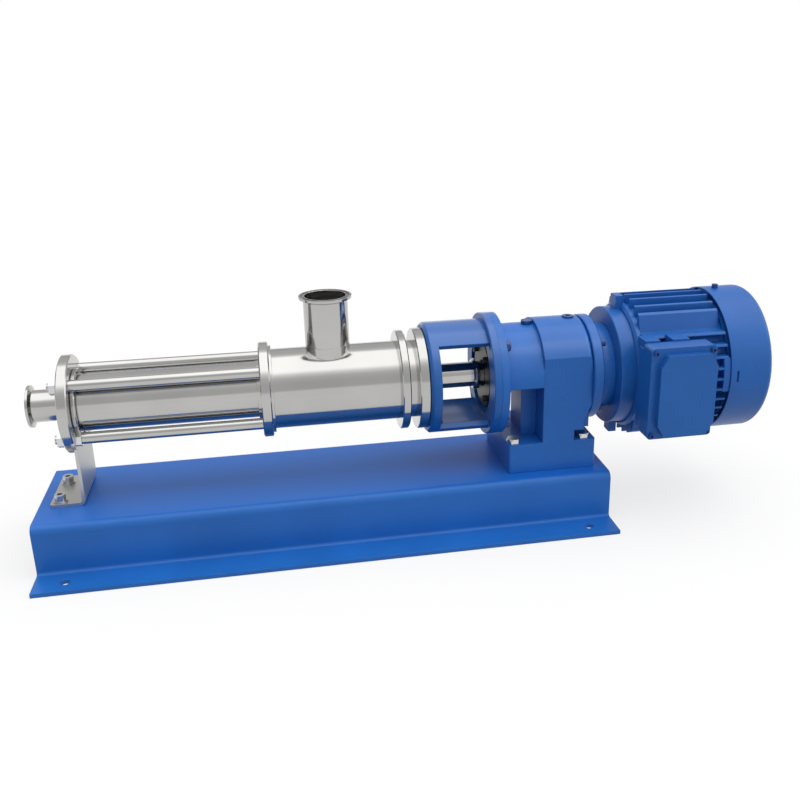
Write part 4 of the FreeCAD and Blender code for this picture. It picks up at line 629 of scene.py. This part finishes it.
@dataclass
class MotorFrame:
    """The finned motor frame: a thin core, deep fins, four smooth corners, end bars and the box's pad."""

    finishes: Finishes
    start: float = 388.5
    end: float = 498.0
    bore: float = 78.1
    core: float = 79.8
    over: float = 92.75
    sink: float = 0.8
    fin: float = 3.0
    top_pitch: float = 17.4
    top_rows: int = 2
    top_gap: float = 3.5
    side_pitch: float = 13.8
    side_rows: int = 4
    side_gap: float = 2.5
    corner_back: float = 46.5
    corner_crest: float = 50.5
    corner_foot: float = 57.5
    corner_sink: float = 0.5
    bar_heights: tuple[float, ...] = (-17, -8, 0, 9, 18, 27)
    bar_length: float = 9.0
    bar_gap: float = 0.05
    pad_back: float = -96.0
    pad_heights: Pair = (131.0, 233.0)
    pad_steps: int = 10
    pad_end: float = 437.0
    lip_start: float = 378.0
    lip_depth: float = 12.5
    overlap: float = 1.0
    bosses: tuple[Pair, ...] = ((380.0, 399.0), (415.0, 437.0))
    boss_depth: float = 24.0
    boss_rise: float = 9.5
    bevel: float = 0.5

    def reach(self, radius: float, offset: float) -> float:
        """How far a circle lies from its middle at this offset across."""
        return math.sqrt(radius * radius - offset * offset)

    def rib(self, offset: float, side: Side) -> tuple[Pair, ...]:
        """The section of a fin that stands on the core.

        Args:
            offset: its middle, across the direction in which it stands.
            side: the direction in which it stands.

        Returns:
            Its corners as y and z.
        """
        low, high = offset - self.fin / 2, offset + self.fin / 2
        seat = self.core - self.sink
        corners = ((low, self.reach(seat, low)), (low, self.reach(self.over, low)),
                   (high, self.reach(self.over, high)), (high, self.reach(seat, high)))
        outward, up = side.value
        if up:
            return tuple((across, PUMP_AXIS + up * out) for across, out in corners)
        return tuple((outward * out, PUMP_AXIS + across) for across, out in corners)

    def fins(self, shell: Shell) -> None:
        """Adds all fins: upright ones above and below, level ones on the sides.

        Args:
            shell: the mesh that they go into.
        """
        for step in range(-self.top_rows, self.top_rows + 1):
            for side in (Side.TOP, Side.BOTTOM):
                shell.prism(self.rib(step * self.top_pitch, side), self.start, self.end - self.top_gap)
        for step in range(-self.side_rows, self.side_rows + 1):
            at_bar = self.bar_heights[0] < step * self.side_pitch < self.bar_heights[-1]
            gap = self.bar_length if at_bar else self.side_gap
            for side in (Side.FRONT, Side.BACK):
                shell.prism(self.rib(step * self.side_pitch, side), self.start, self.end - gap)

    def corner(self, shell: Shell, across: int, up: int) -> None:
        """Adds one smooth corner, nearly upright on its outer face.

        Args:
            shell: the mesh that it goes into.
            across: minus one in front, one behind.
            up: minus one below, one above.
        """
        section = (
            (self.corner_back, self.reach(self.core - self.sink, self.corner_back)),
            (self.corner_back, self.reach(self.over, self.corner_back)),
            (self.corner_crest, self.reach(self.over, self.corner_crest)),
            (self.corner_foot, self.reach(self.core - self.corner_sink, self.corner_foot)),
        )
        outline = tuple((across * y, PUMP_AXIS + up * z) for y, z in section)
        shell.prism(outline, self.start, self.end - self.top_gap)

    def bars(self, shell: Shell) -> None:
        """Adds the bars that join the side fins' ends.

        Args:
            shell: the mesh that they go into.
        """
        for side in (-1, 1):
            inside = [(side * self.reach(self.core - self.sink, h), PUMP_AXIS + h) for h in self.bar_heights]
            outside = [(side * self.reach(self.over, h), PUMP_AXIS + h) for h in self.bar_heights]
            shell.prism((*inside, *outside[::-1]), self.end - self.bar_length, self.end - self.bar_gap)

    def pad(self, shell: Shell) -> None:
        """Adds the terminal box's pad, its lip over the drive shield and the two bosses on it.

        Args:
            shell: the mesh that they go into.
        """
        low, high = self.pad_heights
        heights = [low + (high - low) * i / self.pad_steps for i in range(self.pad_steps + 1)]
        inside = [(-self.reach(self.core - self.sink, h - PUMP_AXIS), h) for h in heights]
        shell.prism(((self.pad_back, high), (self.pad_back, low), *inside), self.start, self.pad_end)
        back = self.pad_back
        shell.block((self.lip_start, self.start + self.overlap), (back, back + self.lip_depth), (low, high))
        for limits in self.bosses:
            shell.block(limits, (back, back + self.boss_depth), (high - self.overlap, high + self.boss_rise))

    def build(self) -> bpy.types.Object:
        """Makes the frame, which rides on the pump unit and stands for its node.

        Returns:
            The frame.
        """
        shell = Shell("motor_frame_fins")
        start, end = self.start, self.end
        shell.turned(((start, self.bore), (start, self.core), (end, self.core), (end, self.bore)), PUMP_AXIS)
        self.fins(shell)
        for across in (-1, 1):
            for up in (-1, 1):
                self.corner(shell, across, up)
        self.bars(shell)
        self.pad(shell)
        piece = shell.finish(self.finishes.made["enamel_motor"], self.bevel)
        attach(piece, "pump_unit")
        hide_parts("motor_frame")
        return piece


@dataclass
class StatorCollar:
    """The collar where the stator tube enters the discharge casing."""

    finishes: Finishes
    start: float = -294.9
    length: float = 5.0
    inner: float = 36.15
    outer: float = 42.0
    edge: float = 1.0
    bevel: float = 0.2

    def build(self) -> bpy.types.Object:
        """Makes the collar, which rides on the pump unit.

        Returns:
            The collar.
        """
        start, end, shoulder = self.start, self.start + self.length, self.outer - self.edge
        shell = Shell("stator_end_collar")
        shell.turned((
            (start, self.inner), (start, shoulder), (start + self.edge, self.outer),
            (start + (self.length - self.edge), self.outer), (end, shoulder), (end, self.inner),
        ), PUMP_AXIS)
        made = shell.finish(self.finishes.made["stainless_turned"], self.bevel)
        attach(made, "pump_unit")
        return made


@dataclass
class InputCover:
    """The gearbox's input cover, flush with the gear block, with its seats and screw holes.

    front_edge and back_edge are the chamfers of its rim, each as length and depth. rim_screws and
    motor_screws are each a ring's radius and the radius of its holes.
    """

    finishes: Finishes
    start: float = 329.0
    neck_start: float = 342.0
    motor_face: float = 361.0
    rim: float = 68.0
    front_edge: Pair = (1.0, 1.0)
    back_edge: Pair = (1.5, 1.2)
    neck: float = 55.0
    well: float = 44.0
    floor: float = 3.0
    seal_seat: float = 20.05
    shaft_hole: float = 12.4
    lip: float = 5.0
    bevel: float = 0.3
    bearing_seat: Hole = Hole(0.0, 143.2, 14.05, 328.0, 337.0)
    rim_screws: Pair = (62.0, 3.3)
    motor_screws: Pair = (49.5, 3.2)
    motor_screw_depth: float = 14.0
    overrun: float = 1.0

    def around(self, radius: float) -> list[Pair]:
        """Four places on the diagonals, as y and z."""
        reach = radius * math.sqrt(0.5)
        return [(across * reach, PUMP_AXIS + up * reach) for across in (-1, 1) for up in (-1, 1)]

    def holes(self) -> list[Hole]:
        """The layshaft's bearing seat and the screw holes.

        Returns:
            The holes, in the order in which they are cut.
        """
        made = [self.bearing_seat]
        ring, radius = self.rim_screws
        start, end = self.start - self.overrun, self.neck_start + self.overrun
        made += [Hole(y, z, radius, start, end) for y, z in self.around(ring)]
        ring, radius = self.motor_screws
        start, end = self.motor_face - self.motor_screw_depth, self.motor_face + self.overrun
        made += [Hole(y, z, radius, start, end) for y, z in self.around(ring)]
        return made

    def build(self) -> bpy.types.Object:
        """Makes the cover, which rides on the pump unit and stands for its node.

        Returns:
            The cover.
        """
        start, neck_start, face, rim = self.start, self.neck_start, self.motor_face, self.rim
        front_length, front_depth = self.front_edge
        back_length, back_depth = self.back_edge
        shell = Shell("input_cover_turned")
        shell.turned((
            (start, self.shaft_hole), (start, rim - front_depth), (start + front_length, rim),
            (neck_start - back_length, rim), (neck_start, rim - back_depth), (neck_start, self.neck),
            (face, self.neck), (face, self.well), (neck_start + self.floor, self.well),
            (neck_start + self.floor, self.seal_seat), (start + self.lip, self.seal_seat),
            (start + self.lip, self.shaft_hole),
        ), PUMP_AXIS)
        made = shell.finish(self.finishes.made["enamel_gear"], self.bevel, self.holes())
        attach(made, "pump_unit")
        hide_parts("input_cover")
        return made


@dataclass
class Studio:
    """Camera, floor, backdrop and soft light.

    levels holds the room's brightness by the angle in degrees at which light comes in over the pump: zero is
    straight above, minus from the back, plus from the front.
    """

    camera_at: Triple = (-0.0584, -1.0874, 0.5670)
    yaw: float = 10.93
    pitch: float = 19.66
    roll: float = 0.65
    sensor_mm: float = 36.0
    focal_px: float = 916.29
    centre_px: Pair = (445.0, 385.0)
    frame_px: float = 800.0
    nearest: float = 0.01
    lamp_at: Triple = (1.6, -1.4, 1.0)
    lamp_aim: Triple = (0.2, 0.0, 0.15)
    lamp_size: float = 1.0
    lamp_watts: float = 1.8
    floor_reach: float = 6.0
    floor_tones: Pair = (0.86, 0.9)
    floor_bounce: Colour = (0.4, 0.4, 0.4)
    floor_fade: Pair = (0.75, 1.5)
    floor_white: float = 0.7
    horizon: Colour = (0.5, 0.5, 0.5)
    dark_end: Colour = (0.06, 0.06, 0.06)
    room_strength: float = 2.0
    levels: tuple[Pair, ...] = ((-180, 0.27), (-84, 0.18), (-62, 0.34), (-44, 0.37), (-32, 0.5), (-25, 1.0),
                                (26, 1.0), (36, 0.6), (46, 0.4), (60, 0.34), (90, 0.34), (180, 0.3))

    def camera(self) -> None:
        """The camera at the photograph's angle."""
        yaw, pitch, roll = (math.radians(a) for a in (self.yaw, self.pitch, self.roll))
        forward = Vector((math.sin(yaw) * math.cos(pitch), math.cos(yaw) * math.cos(pitch), -math.sin(pitch)))
        right = Vector((math.cos(yaw), -math.sin(yaw), 0.0))
        down = forward.cross(right)
        across = right * math.cos(roll) + down * math.sin(roll)
        drop = -right * math.sin(roll) + down * math.cos(roll)
        data = bpy.data.cameras.new("camera")
        data.sensor_width = self.sensor_mm
        data.lens = self.focal_px / self.frame_px * self.sensor_mm
        data.shift_x = (self.frame_px / 2 - self.centre_px[0]) / self.frame_px
        data.shift_y = (self.centre_px[1] - self.frame_px / 2) / self.frame_px
        data.clip_start = self.nearest
        made = bpy.data.objects.new("camera", data)
        turn = Matrix((across, -drop, -forward)).transposed().to_4x4()
        made.matrix_world = Matrix.Translation(self.camera_at) @ turn
        bpy.context.scene.collection.objects.link(made)
        bpy.context.scene.camera = made

    def lamp(self) -> None:
        """One soft square lamp that fills the front."""
        data = bpy.data.lights.new("fill", "AREA")
        data.shape = "SQUARE"
        data.size = self.lamp_size
        data.energy = self.lamp_watts
        made = bpy.data.objects.new("fill", data)
        made.location = self.lamp_at
        aim = Vector(self.lamp_aim) - Vector(self.lamp_at)
        made.rotation_euler = aim.to_track_quat("-Z", "Y").to_euler()
        bpy.context.scene.collection.objects.link(made)

    def shown(self, g: Graph) -> Wire:
        """One for rays that show the backdrop, straight or in metal and glass.

        Args:
            g: the tree that asks.

        Returns:
            The wire, zero for all other rays.
        """
        rays = [g.node("ShaderNodeLightPath", output=name)
                for name in ("Is Camera Ray", "Is Glossy Ray", "Is Transmission Ray")]
        return g.node("ShaderNodeClamp", None, {0: rays[0] + rays[1] + rays[2]})

    def floor(self) -> None:
        """A pale floor that turns white to the camera and keeps the shadow."""
        reach = self.floor_reach
        mesh = bpy.data.meshes.new("floor")
        corners = [(-reach, -reach, 0), (reach, -reach, 0), (reach, reach, 0), (-reach, reach, 0)]
        mesh.from_pydata(corners, [], [(0, 1, 2, 3)])
        made = bpy.data.objects.new("floor", mesh)
        bpy.context.scene.collection.objects.link(made)
        material, g = new_material("pale_floor")
        shown = self.shown(g)
        low, high = ((tone,) * 3 for tone in self.floor_tones)
        pale = g.mix(g.noise(g.place(), scale=3.0), low, high)
        board = g.node("ShaderNodeBsdfDiffuse", None, {"Color": g.mix(shown, self.floor_bounce, pale)})
        white = g.node("ShaderNodeEmission", None, {"Color": (1.0, 1.0, 1.0, 1.0), "Strength": 1.0})
        far = g.length(g.place()).between(*self.floor_fade)
        share = shown * (far * (1.0 - self.floor_white) + self.floor_white)
        shader = g.node("ShaderNodeMixShader", None, {0: share, 1: board, 2: white})
        g.node("ShaderNodeOutputMaterial", None, {"Surface": shader})
        mesh.materials.append(material)

    def world(self) -> None:
        """A grey room with a long soft light overhead, darker at one end, and white round the horizon."""
        made = bpy.data.worlds.new("studio")
        bpy.context.scene.world = made
        made.use_nodes = True
        g = Graph(made.node_tree)
        direction = g.node("ShaderNodeTexCoord", output="Generated")
        height = g.part(direction, "z")
        lean = (g.part(direction, "y") * -1.0).angle_to(height)
        stops = tuple((angle / 360 + 0.5, (level,) * 3) for angle, level in self.levels)
        ramp = g.node("ShaderNodeValToRGB", {"stops": stops}, {"Fac": lean * (0.5 / math.pi) + 0.5})
        side = (g.part(direction, "x") * -1.0).between(0.2, 0.8)
        room = g.mix(side * 0.85, ramp, self.dark_end)
        low = 1.0 - height.between(0.1, 0.2)
        colour = g.mix(self.shown(g) * low, room, self.horizon)
        light = g.node("ShaderNodeBackground", None, {"Color": colour, "Strength": self.room_strength})
        g.node("ShaderNodeOutputWorld", None, {"Surface": light})

    def build(self) -> None:
        """Sets the whole studio up."""
        self.camera()
        self.floor()
        self.world()
        self.lamp()
        bpy.context.scene.view_settings.view_transform = "Standard"


def main() -> None:
    """Builds the scene in order and reports each piece."""
    logging.basicConfig(level=logging.INFO, format="%(name)s: %(message)s")
    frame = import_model()
    Studio().build()
    finishes = Finishes()
    finishes.build()
    for node, finish in Dresser(frame, finishes).dress().items():
        LOG.info("%s wears %s", node, finish)
    for assembly in (MotorFrame(finishes), StatorCollar(finishes), InputCover(finishes)):
        piece = assembly.build()
        LOG.info("%s is made and wears %s", piece.name, piece.data.materials[0].name)


if __name__ == "__main__":
    main()
